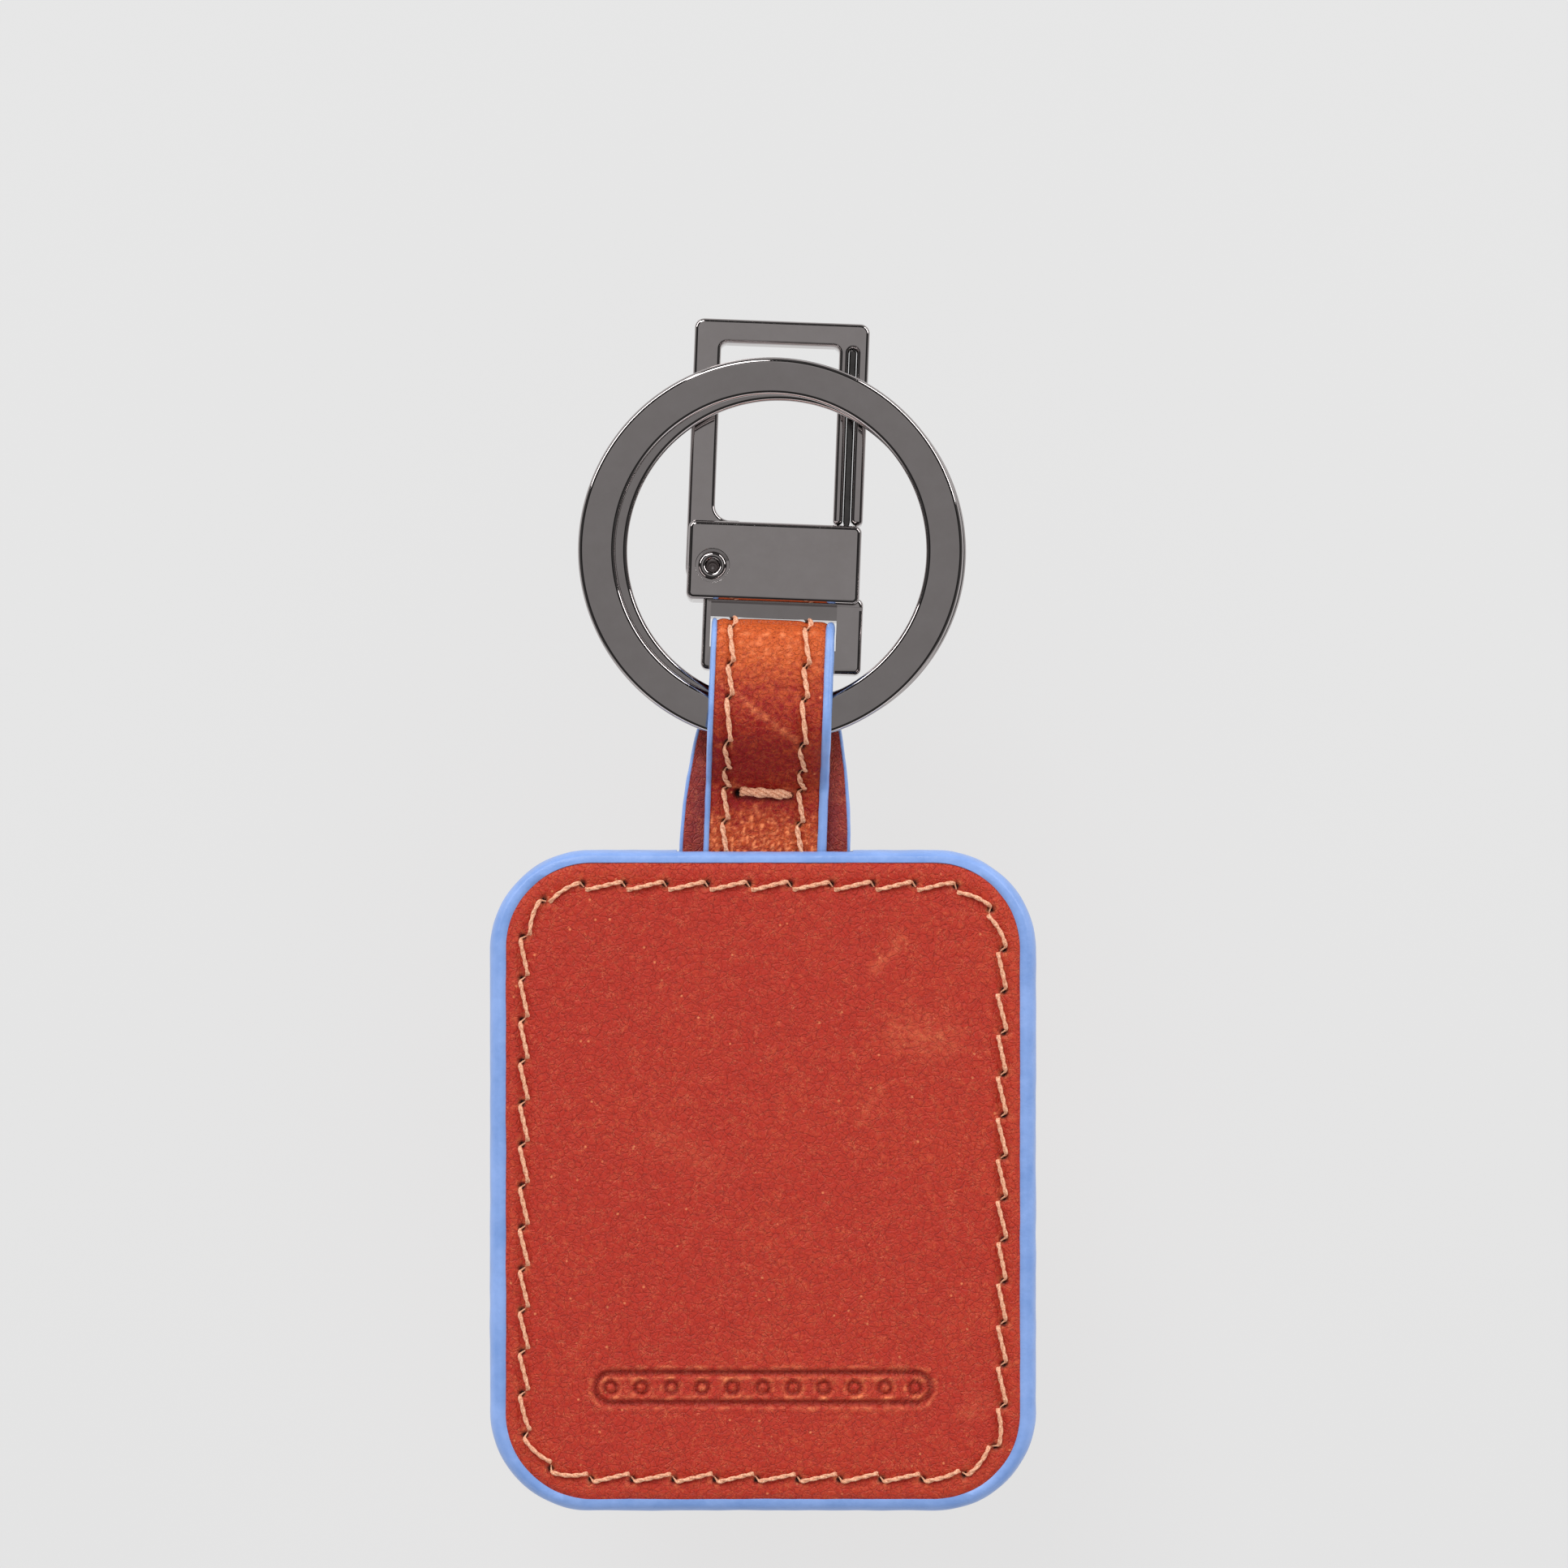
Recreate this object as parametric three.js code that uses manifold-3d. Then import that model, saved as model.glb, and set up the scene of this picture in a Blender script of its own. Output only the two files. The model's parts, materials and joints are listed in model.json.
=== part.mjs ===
// Leather keychain: a stitched tag, a folded leather strap, a swivelling metal clip and a split ring.
// It lies on its back: +X is across the tag, +Y runs from the tag to the clip, +Z is up. Millimetres.
import * as THREE from "three";
import { mergeVertices } from "three/addons/utils/BufferGeometryUtils.js";
import Module from "manifold-3d";

const wasm = await Module();
wasm.setup();

// General fits.
const glueGap = 0.05; // between layers that are glued face to face
const looseGap = 0.15; // between pieces that only lie beside each other
const degree = Math.PI / 180;
const roundSides = 36; // facets of the rivet and its holes

// Tag.
const tagWidth = 45.6;
const tagHeight = 55.1;
const tagCorner = 8.4;
const rimSide = 1.2; // painted rim that shows round the leather, at the sides and the bottom
const rimTop = 0.9;
const rimBevel = 0.7;
const rimSetback = 0.15; // how far the rim stays below both leather faces
const tagLeather = 1.15;
const coreThickness = 2.8;
const leatherBevel = 0.25;
const threadWidth = 0.55;
const threadDepth = 0.3;
const threadProud = 0.1;
const threadSetback = 0.08; // how far the thread on the back stays inside its groove
const seamSide = 1.75; // from the leather's edge to the middle of the seam
const seamTop = 2.1;
const seamCorner = 5.2;
const stampLength = 27.8;
const stampHeight = 2.5;
const stampLine = 0.4;
const stampDepth = 0.25;
const stampFromBottom = 9.2; // from the leather's bottom edge to the middle of the stamp
const tailLength = 12;

// Strap.
const lean = 2.2 * degree; // how far the strap and all it carries turn to the right of the tag's own axis
const strapX = 0.15;
const strapWidth = 10.3;
const flareWidth = 14.3; // of the rear layer, where it enters the tag
const flareStop = 2.1; // from the bar back to where the rear layer is down to the strap's own width
const strapLeather = 0.75;
const liningThickness = 0.6;
const edgePaint = 0.4;
const strapLift = 0.15; // keeps the thread under the strap off the table
const hingeY = 0.3;
const flexAngle = 30 * degree;
const tackY = 4.45;
const tackFromLeftSeam = 1.05;
const tackFromRightSeam = 1.1;
const tackWidth = 0.66;
const tackRounding = 0.45; // corner radius as a share of the bar tack's width
const pinchLength = 1.35; // from the bar tack to where the two layers part
const pinchRadius = 2.4;
const seamInsetLeft = 1.75;
const seamInsetRight = 2.3; // both from the strap's edge to the middle of its seam

// Split ring.
const ringOuter = 16;
const ringBand = 3.1;
const ringWire = 1.05; // thickness of one turn
const ringTurnGap = 0.1;
const ringBevel = 0.25;
const ringX = -0.3;
const ringHinge = 11.15; // along the strap
const ringOverhang = 2.25; // from the hinge line to the ring's outermost edge
const ringTilt = 3.6 * degree;
const ringEyeClearance = 0.2;
const stepAngle = 18 * degree; // half of the stretch where the wire steps from one turn to the other
const stepMargin = 2 * degree; // between a turn's end and the step into the other turn
const rearShiftX = 0.6;
const rearShiftY = -0.12;

// Clip body, in its own frame: the origin is on the axis of the bar that the strap holds.
const barAlong = 15.7; // from the tag's edge to the bar
const barSize = 1.9;
const barThickness = 2;
const barEyeRadius = 2; // inner radius of the strap round the bar
const barSag = 0.5; // the bar lies this far below the middle of the strap's eye
const loopThickness = 2.4;
const loopWallLeft = 0.62;
const loopWallRight = 2.1;
const webStart = 3.6;
const boxWidth = 14.4;
const boxHeight = 6.6;
const boxStart = 4.8;
const boxThickness = 4.2;
const boxCorner = 0.6;
const clipBevel = 0.25;

// Hook and its pivot.
const hookThickness = 2.4;
const hookLeft = -7.35;
const hookRight = 7.25;
const hookTop = 28.4;
const topBar = 2;
const leftLeg = 2.25;
const innerStrip = 0.8;
const slotWidth = 0.68;
const outerStrip = 1;
const hookCorner = 0.8;
const hookBevel = 0.2;
const windowCorner = 0.5;
const lugFillet = 1.25;
const slotTopGap = 2.1; // from the hook's top to the slot's closed end
const pivotX = -5.1;
const pivotY = 7.65;
const shankRadius = 0.95;
const pivotClearance = 0.06;
const rivetBore = 0.65;
const rivetHead = 1.2;
const rivetHeadHeight = 0.25;
const counterbore = 1.45;
const counterboreDepth = 0.35;
const bladeThickness = 0.3;
const bladeWidth = 1.7;
const bladeReach = 1.25; // how far the blade goes into the clip body
const barbShare = 1.6; // how far the barb stands out, as a share of half the blade's thickness
const barbStart = 1; // both from the blade's tip
const barbPeak = 0.6;
const socketWidth = 1.6;

// Worked out.
const tagThickness = 2 * (tagLeather + glueGap) + coreThickness;
const middle = tagThickness / 2;
const strapThickness = strapLeather + glueGap + liningThickness;
const ringThickness = 2 * ringWire + ringTurnGap;
const ringInner = ringOuter - ringBand;
const ringEyeRadius = Math.hypot(ringOverhang, ringThickness / 2 - ringBevel) + ringEyeClearance;
const ringEyeZ = strapLift + strapThickness + ringEyeRadius;
const barEyeZ = strapLift + strapThickness + barEyeRadius;
const barZ = barEyeZ - barSag;
const droop = Math.asin((barZ - hookThickness / 2) / hookTop);
const boxTop = boxStart + boxHeight;

const colours = {
  leather: 0xb0392c,
  lining: 0x8a3a30,
  paint: 0x769eeb,
  thread: 0xd69169,
  board: 0x8d7a63,
  gunmetal: 0x6e6968,
  steel: 0x9a9896,
};

function finish(name) {
  const metal = name === "gunmetal" || name === "steel";
  return new THREE.MeshStandardMaterial({
    color: colours[name],
    roughness: metal ? 0.22 : 0.6,
    metalness: metal ? 1 : 0,
  });
}

function solid(geometry) {
  const bare = geometry.clone();
  bare.deleteAttribute("normal");
  bare.deleteAttribute("uv");
  const merged = mergeVertices(bare, 1e-4);
  const mesh = new wasm.Mesh({
    numProp: 3,
    vertProperties: new Float32Array(merged.attributes.position.array),
    triVerts: new Uint32Array(merged.index.array),
  });
  return new wasm.Manifold(mesh);
}

function named(name, body, look) {
  const mesh = body.getMesh();
  const geometry = new THREE.BufferGeometry();
  geometry.setAttribute("position", new THREE.BufferAttribute(mesh.vertProperties, 3));
  geometry.setIndex(new THREE.BufferAttribute(mesh.triVerts, 1));
  geometry.computeVertexNormals();
  const piece = new THREE.Mesh(geometry, finish(look));
  piece.name = name;
  return piece;
}

function block(x0, x1, y0, y1, z0, z1) {
  const geometry = new THREE.BoxGeometry(x1 - x0, y1 - y0, z1 - z0);
  geometry.translate((x0 + x1) / 2, (y0 + y1) / 2, (z0 + z1) / 2);
  return solid(geometry);
}

function plate(shape, z0, z1, bevel, curveSegments = 6, bevelSegments = 1) {
  const geometry = new THREE.ExtrudeGeometry(shape, {
    depth: z1 - z0 - 2 * bevel,
    bevelEnabled: bevel > 0,
    bevelThickness: bevel,
    bevelSize: bevel,
    bevelOffset: -bevel,
    bevelSegments,
    curveSegments,
  });
  geometry.translate(0, 0, z0 + bevel);
  return solid(geometry);
}

function roundedRect(x0, x1, y0, y1, radius, path = new THREE.Shape()) {
  path.moveTo(x0 + radius, y0);
  path.lineTo(x1 - radius, y0);
  path.absarc(x1 - radius, y0 + radius, radius, -Math.PI / 2, 0);
  path.lineTo(x1, y1 - radius);
  path.absarc(x1 - radius, y1 - radius, radius, 0, Math.PI / 2);
  path.lineTo(x0 + radius, y1);
  path.absarc(x0 + radius, y1 - radius, radius, Math.PI / 2, Math.PI);
  path.lineTo(x0, y0 + radius);
  path.absarc(x0 + radius, y0 + radius, radius, Math.PI, 1.5 * Math.PI);
  return path;
}

// A flat frame of even width, such as a seam or the line of a stamp.
function outline(x0, x1, y0, y1, radius, width, z0, z1) {
  const half = width / 2;
  const outer = roundedRect(x0 - half, x1 + half, y0 - half, y1 + half, radius + half);
  outer.holes.push(roundedRect(x0 + half, x1 - half, y0 + half, y1 - half, radius - half, new THREE.Path()));
  return plate(outer, z0, z1, 0);
}

// ---- Tag ----
const leatherLeft = -tagWidth / 2 + rimSide;
const leatherRight = -leatherLeft;
const leatherTop = -rimTop;
const leatherBottom = -tagHeight + rimSide;
const leatherCorner = tagCorner - (rimSide + rimTop) / 2;
const windowHalfWidth = flareWidth / 2 + looseGap;
const windowHalfHeight = strapThickness + looseGap + glueGap;

function tagSheet(grow, z0, z1, bevel) {
  const shape = roundedRect(
    leatherLeft - grow,
    leatherRight + grow,
    leatherBottom - grow,
    leatherTop + grow,
    leatherCorner + grow,
  );
  return plate(shape, z0, z1, bevel);
}

function tagSeam(width, z0, z1) {
  return outline(
    leatherLeft + seamSide,
    leatherRight - seamSide,
    leatherBottom + seamSide,
    leatherTop - seamTop,
    seamCorner,
    width,
    z0,
    z1,
  );
}

function stamp() {
  const y = leatherBottom + stampFromBottom;
  return outline(
    -stampLength / 2,
    stampLength / 2,
    y - stampHeight / 2,
    y + stampHeight / 2,
    stampHeight / 2,
    stampLine,
    tagThickness - stampDepth,
    tagThickness + 1,
  );
}

function makeTag() {
  const tag = new THREE.Group();
  const grooveWidth = threadWidth + 2 * glueGap;
  const frontGroove = tagSeam(grooveWidth, tagThickness - threadDepth - glueGap, tagThickness + 1);
  const front = tagSheet(0, tagThickness - tagLeather, tagThickness, leatherBevel);
  tag.add(named("front_leather", front.subtract(frontGroove).subtract(stamp()), "leather"));

  const backGroove = tagSeam(grooveWidth, -1, threadDepth + glueGap + threadSetback);
  const back = tagSheet(0, 0, tagLeather, leatherBevel);
  tag.add(named("back_leather", back.subtract(backGroove), "leather"));

  const coreBottom = tagLeather + glueGap;
  const core = tagSheet(0, coreBottom, coreBottom + coreThickness, 0);
  const tailHalf = flareWidth / 2;
  const notch = block(
    -tailHalf - looseGap + strapX,
    tailHalf + looseGap + strapX,
    leatherTop - tailLength - looseGap,
    1,
    0,
    tagThickness,
  );
  tag.add(named("stiffener_core", core.subtract(notch), "board"));

  const rimShape = roundedRect(-tagWidth / 2, tagWidth / 2, -tagHeight, 0, tagCorner);
  const rim = plate(rimShape, rimSetback, tagThickness - rimSetback, rimBevel, 8, 2);
  const rimInside = tagSheet(glueGap, -1, tagThickness + 1, 0);
  const rimWindow = block(
    -windowHalfWidth + strapX - glueGap,
    windowHalfWidth + strapX + glueGap,
    leatherTop - 1,
    1,
    middle - windowHalfHeight,
    middle + windowHalfHeight,
  );
  tag.add(named("edge_coat", rim.subtract(rimInside).subtract(rimWindow), "paint"));

  const needle = tagSeam(threadWidth, tagThickness - threadDepth, tagThickness + threadProud);
  tag.add(named("needle_thread", needle, "thread"));
  const bobbin = tagSeam(threadWidth, threadSetback, threadSetback + threadDepth);
  tag.add(named("bobbin_thread", bobbin, "thread"));

  // The room that the strap takes behind its hinge, as it flexes and because it leans.
  const swing = (strapThickness + glueGap) * Math.sin(flexAngle) + tailHalf * Math.sin(lean);
  const tail = block(
    -tailHalf + strapX,
    tailHalf + strapX,
    leatherTop - tailLength,
    hingeY - swing - looseGap,
    coreBottom + glueGap,
    coreBottom + coreThickness - glueGap,
  );
  tag.add(named("strap_tail", tail, "leather"));
  return tag;
}

// ---- Strap ----
const strapReach = barAlong + barEyeRadius + strapThickness + 1; // past the strap's far end
const strapRoof = 12; // above every point of the strap
const flareSteps = 12; // curve steps along each side of the rear layer

// The strap's inner face as points with outward normals, from its front end, over the bar, to its rear end.
// Each point is { y, z, angle }, with the angle of the normal measured from +Y towards +Z.
function strapRoute() {
  const partY = tackY + pinchLength;
  const ringEye = new THREE.Vector2(ringHinge, ringEyeZ);
  const barEye = new THREE.Vector2(barAlong, barEyeZ);
  const route = [];

  function arc(centre, radius, from, to, sign) {
    const steps = Math.max(2, Math.ceil(Math.abs(to - from) / (12 * degree)));
    for (let i = 0; i <= steps; i++) {
      const angle = from + ((to - from) * i) / steps;
      const y = centre.x + sign * radius * Math.cos(angle);
      const z = centre.y + sign * radius * Math.sin(angle);
      route.push({ y, z, angle });
    }
  }

  // The slope at which a layer leaves the pinched stretch to run round the ring's eye.
  function slope(z, side) {
    const away = new THREE.Vector2(ringEye.x - partY, ringEye.y - z);
    return Math.atan2(away.y, away.x) + side * Math.asin(ringEyeRadius / away.length());
  }

  function pinch(z, side) {
    const turn = slope(z, side);
    const start = partY - pinchRadius * Math.tan(Math.abs(turn) / 2);
    const centre = new THREE.Vector2(start, z + side * pinchRadius);
    return { turn, centre };
  }

  const frontZ = middle + glueGap;
  const rearZ = middle - glueGap;
  const front = pinch(frontZ, 1);
  const rear = pinch(rearZ, -1);
  const between = barEye.clone().sub(ringEye);
  const tangent = Math.atan2(between.y, between.x);
  const taper = Math.acos((ringEyeRadius - barEyeRadius) / between.length());

  route.push({ y: hingeY, z: frontZ, angle: 90 * degree });
  arc(front.centre, pinchRadius, 90 * degree, 90 * degree + front.turn, -1);
  arc(ringEye, ringEyeRadius, 90 * degree + front.turn, tangent + taper, 1);
  arc(barEye, barEyeRadius, tangent + taper, tangent - taper, 1);
  arc(ringEye, ringEyeRadius, tangent - taper, -90 * degree + rear.turn, 1);
  arc(rear.centre, pinchRadius, -90 * degree + rear.turn, -90 * degree, -1);
  route.push({ y: hingeY, z: rearZ, angle: -90 * degree });
  return route;
}

// A layer of the strap between two heights above its inner face, as wide as x0 to x1.
function strapLayer(from, to, x0, x1) {
  const route = strapRoute();
  const offset = (point, height) =>
    new THREE.Vector2(
      point.y + height * Math.cos(point.angle),
      point.z + height * Math.sin(point.angle),
    );
  const outside = route.map((point) => offset(point, to));
  const inside = route.map((point) => offset(point, from)).reverse();
  const shape = new THREE.Shape([...outside, ...inside]);
  const geometry = new THREE.ExtrudeGeometry(shape, { depth: x1 - x0, bevelEnabled: false });
  const turned = new THREE.Matrix4().set(0, 0, 1, x0, 1, 0, 0, 0, 0, 1, 0, 0, 0, 0, 0, 1);
  geometry.applyMatrix4(turned);
  return solid(geometry);
}

// The strap seen from above: an even front layer, and a rear layer that widens towards the tag.
function strapOutline(inset) {
  const half = strapWidth / 2 - inset;
  const rearHalf = flareWidth / 2 - inset;
  const flareEnd = barAlong - flareStop;
  const even = block(strapX - half, strapX + half, -1, strapReach, -1, strapRoof);
  const shape = new THREE.Shape();
  shape.moveTo(-rearHalf, -1);
  shape.lineTo(rearHalf, -1);
  shape.lineTo(rearHalf, 0);
  shape.bezierCurveTo(rearHalf, 5, rearHalf - 1.1, flareEnd - 2.5, half, flareEnd);
  shape.lineTo(-half, flareEnd);
  shape.bezierCurveTo(-rearHalf + 1.1, flareEnd - 2.5, -rearHalf, 5, -rearHalf, 0);
  const flare = plate(shape, -1, middle, 0, flareSteps).translate([strapX, 0, 0]);
  return even.add(flare);
}

function makeStrap() {
  const strap = new THREE.Group();
  const wide = flareWidth / 2 + 1;
  const paintedInset = edgePaint + glueGap;
  const leatherFrom = liningThickness + glueGap;
  const seams = {
    left: strapX - strapWidth / 2 + seamInsetLeft,
    right: strapX + strapWidth / 2 - seamInsetRight,
  };
  const groove = threadWidth / 2 + glueGap;
  const inner = strapOutline(paintedInset);

  let leather = strapLayer(leatherFrom, strapThickness, -wide, wide).intersect(inner);
  for (const x of Object.values(seams)) {
    const floor = strapThickness - threadDepth - glueGap;
    leather = leather.subtract(strapLayer(floor, strapThickness + 1, x - groove, x + groove));
  }
  const tackTop = middle + glueGap + strapThickness;
  const tackLeft = seams.left + tackFromLeftSeam;
  const tackRight = seams.right - tackFromRightSeam;
  const pocket = block(
    tackLeft - glueGap,
    tackRight + glueGap,
    tackY - tackWidth / 2 - glueGap,
    tackY + tackWidth / 2 + glueGap,
    tackTop - threadDepth - glueGap,
    tackTop + 1,
  );
  strap.add(named("strap_leather", leather.subtract(pocket), "leather"));

  const lining = strapLayer(0, liningThickness, -wide, wide).intersect(inner);
  strap.add(named("strap_lining", lining, "lining"));

  const skin = strapOutline(0).subtract(strapOutline(edgePaint));
  const painted = strapLayer(0, strapThickness, -wide, wide).intersect(skin);
  strap.add(named("strap_edge_left", painted.intersect(block(-wide, strapX, -1, strapReach, -1, strapRoof)), "paint"));
  strap.add(named("strap_edge_right", painted.intersect(block(strapX, wide, -1, strapReach, -1, strapRoof)), "paint"));

  const threadRoom = block(-wide, wide, hingeY + looseGap, strapReach, -1, strapRoof);
  for (const [side, x] of Object.entries(seams)) {
    const half = threadWidth / 2;
    const low = strapThickness - threadDepth;
    const thread = strapLayer(low, strapThickness + threadProud, x - half, x + half);
    strap.add(named("strap_thread_" + side, thread.intersect(threadRoom), "thread"));
  }

  const tack = roundedRect(
    tackLeft,
    tackRight,
    tackY - tackWidth / 2,
    tackY + tackWidth / 2,
    tackWidth * tackRounding,
  );
  strap.add(named("bar_tack", plate(tack, tackTop - threadDepth, tackTop + threadProud, 0, 4), "thread"));
  return strap;
}

// ---- Split ring ----
// One flat turn of the wire from angle a0 to a1, with its underside at zLow and its centre at shift.
function wireStretch(a0, a1, zLow, shift) {
  const shape = new THREE.Shape();
  shape.absarc(shift.x, shift.y, ringOuter, a0, a1, false);
  shape.absarc(shift.x, shift.y, ringInner, a1, a0, true);
  return plate(shape, zLow, zLow + ringWire, ringBevel, 44);
}

// The stepped stretch: a flat sector whose points are lifted and shifted from the rear turn to the front one.
function wireStep(a0, a1, rear, front) {
  const shape = new THREE.Shape();
  shape.absarc(0, 0, ringOuter, a0, a1, false);
  shape.absarc(0, 0, ringInner, a1, a0, true);
  const geometry = new THREE.ExtrudeGeometry(shape, {
    depth: ringWire - 2 * ringBevel,
    bevelThickness: ringBevel,
    bevelSize: ringBevel,
    bevelOffset: -ringBevel,
    bevelSegments: 1,
    curveSegments: 10,
  });
  geometry.translate(0, 0, ringBevel);
  const at = geometry.attributes.position;
  const middleAngle = (a0 + a1) / 2;
  for (let i = 0; i < at.count; i++) {
    const angle = Math.atan2(at.getY(i), at.getX(i));
    const turned = Math.atan2(Math.sin(angle - middleAngle), Math.cos(angle - middleAngle));
    const share = THREE.MathUtils.smoothstep(turned, -stepAngle, stepAngle);
    at.setXYZ(
      i,
      at.getX(i) + THREE.MathUtils.lerp(front.x, rear.x, share),
      at.getY(i) + THREE.MathUtils.lerp(front.y, rear.y, share),
      at.getZ(i) + THREE.MathUtils.lerp(front.z, rear.z, share),
    );
  }
  return solid(geometry);
}

function makeRing() {
  const overlap = 1.5 * degree;
  const bottom = -90 * degree;
  const front = { x: 0, y: 0, z: ringTurnGap / 2 };
  const rear = { x: rearShiftX, y: rearShiftY, z: -ringTurnGap / 2 - ringWire };
  const start = bottom + stepAngle;
  const end = bottom + 2 * Math.PI - stepAngle;
  // The front turn ends just short of the step, and the rear turn starts just past it.
  const frontTurn = wireStretch(start + stepMargin, end, front.z, front);
  const rearTurn = wireStretch(start, end - stepMargin, rear.z, rear);
  const step = wireStep(bottom - stepAngle - overlap, bottom + stepAngle + overlap, rear, front);
  const wire = frontTurn.add(rearTurn).add(step);
  const ring = named("split_ring", wire.translate([ringX, ringOuter - ringOverhang, 0]), "gunmetal");
  ring.position.set(0, ringHinge, ringEyeZ);
  ring.rotation.x = ringTilt;
  return ring;
}

// ---- Clip ----
function clipBody() {
  const boxShape = roundedRect(-boxWidth / 2, boxWidth / 2, boxStart, boxTop, boxCorner);
  const box = plate(boxShape, -boxThickness / 2, boxThickness / 2, clipBevel, 4);

  const windowLeft = strapX - strapWidth / 2 - looseGap;
  const windowRight = strapX + strapWidth / 2 + looseGap;
  const loopShape = roundedRect(
    windowLeft - loopWallLeft,
    windowRight + loopWallRight,
    -barSize / 2,
    boxStart + 1,
    boxCorner,
  );
  const loop = plate(loopShape, -loopThickness / 2, loopThickness / 2, clipBevel, 4);
  const window = block(windowLeft, windowRight, barSize / 2, webStart, -3, 3);
  const lowBar = barThickness / 2;
  const overBar = block(windowLeft, windowRight, -2, barSize, lowBar, 3);
  const underBar = block(windowLeft, windowRight, -2, barSize, -3, -lowBar);
  const neck = 0.35; // a fine groove where the loop meets the box
  const neckRight = block(windowRight, boxWidth, boxStart - neck, boxStart, loopThickness / 2 - neck, 3);

  const lugRadius = pivotX - hookLeft;
  const slotHalf = hookThickness / 2 + looseGap;
  const lugSlot = block(
    -boxWidth,
    pivotX + lugRadius + 2 * looseGap,
    pivotY - lugRadius - looseGap,
    boxTop + 1,
    -slotHalf,
    slotHalf,
  );
  const hole = boreAt(shankRadius + pivotClearance, -3, 3);
  const seat = boxThickness / 2 - counterboreDepth;
  const frontSeat = boreAt(counterbore, seat, 3);
  const rearSeat = boreAt(counterbore, -3, -seat);

  const bladeX = hookRight - outerStrip - slotWidth / 2;
  const socket = block(
    bladeX - socketWidth / 2,
    bladeX + socketWidth / 2,
    boxTop - bladeReach - 2 * looseGap,
    boxTop + 1,
    -bladeWidth / 2 - looseGap,
    bladeWidth / 2 + looseGap,
  );
  const cuts = [window, overBar, underBar, neckRight, lugSlot, hole, frontSeat, rearSeat, socket];
  let body = loop.add(box);
  for (const cut of cuts) body = body.subtract(cut);
  return named("clip_body", body, "gunmetal");
}

function boreAt(radius, z0, z1) {
  const geometry = new THREE.CylinderGeometry(radius, radius, z1 - z0, roundSides);
  geometry.rotateX(Math.PI / 2);
  geometry.translate(pivotX, pivotY, (z0 + z1) / 2);
  return solid(geometry);
}

function pivotRivet() {
  const end = boxThickness / 2 - counterboreDepth + glueGap + rivetHeadHeight;
  const neck = end - rivetHeadHeight;
  const profile = [
    [rivetBore, -end],
    [rivetHead, -end],
    [rivetHead, -neck],
    [shankRadius, -neck],
    [shankRadius, neck],
    [rivetHead, neck],
    [rivetHead, end],
    [rivetBore, end],
    [rivetBore, -end],
  ].map(([r, z]) => new THREE.Vector2(r, z));
  const geometry = new THREE.LatheGeometry(profile, roundSides);
  geometry.rotateX(Math.PI / 2);
  geometry.translate(pivotX, pivotY, 0);
  return named("pivot_rivet", solid(geometry), "steel");
}

// ---- Hook ----
function hookFrame() {
  const legRight = hookLeft + leftLeg;
  const windowRight = hookRight - outerStrip - slotWidth - innerStrip;
  const windowTop = hookTop - topBar;
  const slotLeft = windowRight + innerStrip;
  const slotRight = slotLeft + slotWidth;
  const slotTop = hookTop - slotTopGap;
  const foot = boxTop + looseGap;
  const lugRadius = pivotX - hookLeft;
  const lugRight = pivotX + lugRadius;
  const shape = new THREE.Shape();
  shape.moveTo(hookLeft, pivotY);
  shape.absarc(pivotX, pivotY, lugRadius, Math.PI, 2 * Math.PI);
  shape.lineTo(lugRight, foot);
  shape.lineTo(legRight + lugFillet, foot);
  shape.absarc(legRight + lugFillet, foot + lugFillet, lugFillet, -Math.PI / 2, Math.PI, true);
  shape.lineTo(legRight, windowTop - windowCorner);
  shape.absarc(legRight + windowCorner, windowTop - windowCorner, windowCorner, Math.PI, Math.PI / 2, true);
  shape.lineTo(windowRight - windowCorner, windowTop);
  shape.absarc(windowRight - windowCorner, windowTop - windowCorner, windowCorner, Math.PI / 2, 0, true);
  shape.lineTo(windowRight, foot);
  shape.lineTo(slotLeft, foot);
  shape.lineTo(slotLeft, slotTop);
  shape.lineTo(slotRight, slotTop);
  shape.lineTo(slotRight, foot);
  shape.lineTo(hookRight, foot);
  shape.lineTo(hookRight, hookTop - hookCorner);
  shape.absarc(hookRight - hookCorner, hookTop - hookCorner, hookCorner, 0, Math.PI / 2);
  shape.lineTo(hookLeft + hookCorner, hookTop);
  shape.absarc(hookLeft + hookCorner, hookTop - hookCorner, hookCorner, Math.PI / 2, Math.PI);
  shape.lineTo(hookLeft, pivotY);
  const frame = plate(shape, -hookThickness / 2, hookThickness / 2, hookBevel);
  return named("hook_frame", frame.subtract(boreAt(shankRadius + pivotClearance, -3, 3)), "gunmetal");
}

function latchBlade() {
  const bladeX = hookRight - outerStrip - slotWidth / 2;
  const half = bladeThickness / 2;
  const top = hookTop - slotTopGap - glueGap;
  const tip = boxTop - bladeReach;
  const barb = half * barbShare;
  const shape = new THREE.Shape();
  shape.moveTo(bladeX - half, top);
  shape.lineTo(bladeX - half, tip + barbStart);
  shape.lineTo(bladeX - half - barb, tip + barbPeak);
  shape.lineTo(bladeX - half / 2, tip);
  shape.lineTo(bladeX + half / 2, tip);
  shape.lineTo(bladeX + half, tip + barbPeak);
  shape.lineTo(bladeX + half, top);
  return named("latch_blade", plate(shape, -bladeWidth / 2, bladeWidth / 2, 0), "steel");
}

function makeClip() {
  const clip = new THREE.Group();
  clip.add(clipBody(), pivotRivet(), hookFrame(), latchBlade());
  clip.position.set(0, barAlong, barZ);
  clip.rotation.x = -droop;
  return clip;
}

const hardware = new THREE.Group();
hardware.add(makeStrap(), makeRing(), makeClip());
hardware.rotation.z = -lean;

const keychain = new THREE.Group();
keychain.add(makeTag(), hardware);

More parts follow.
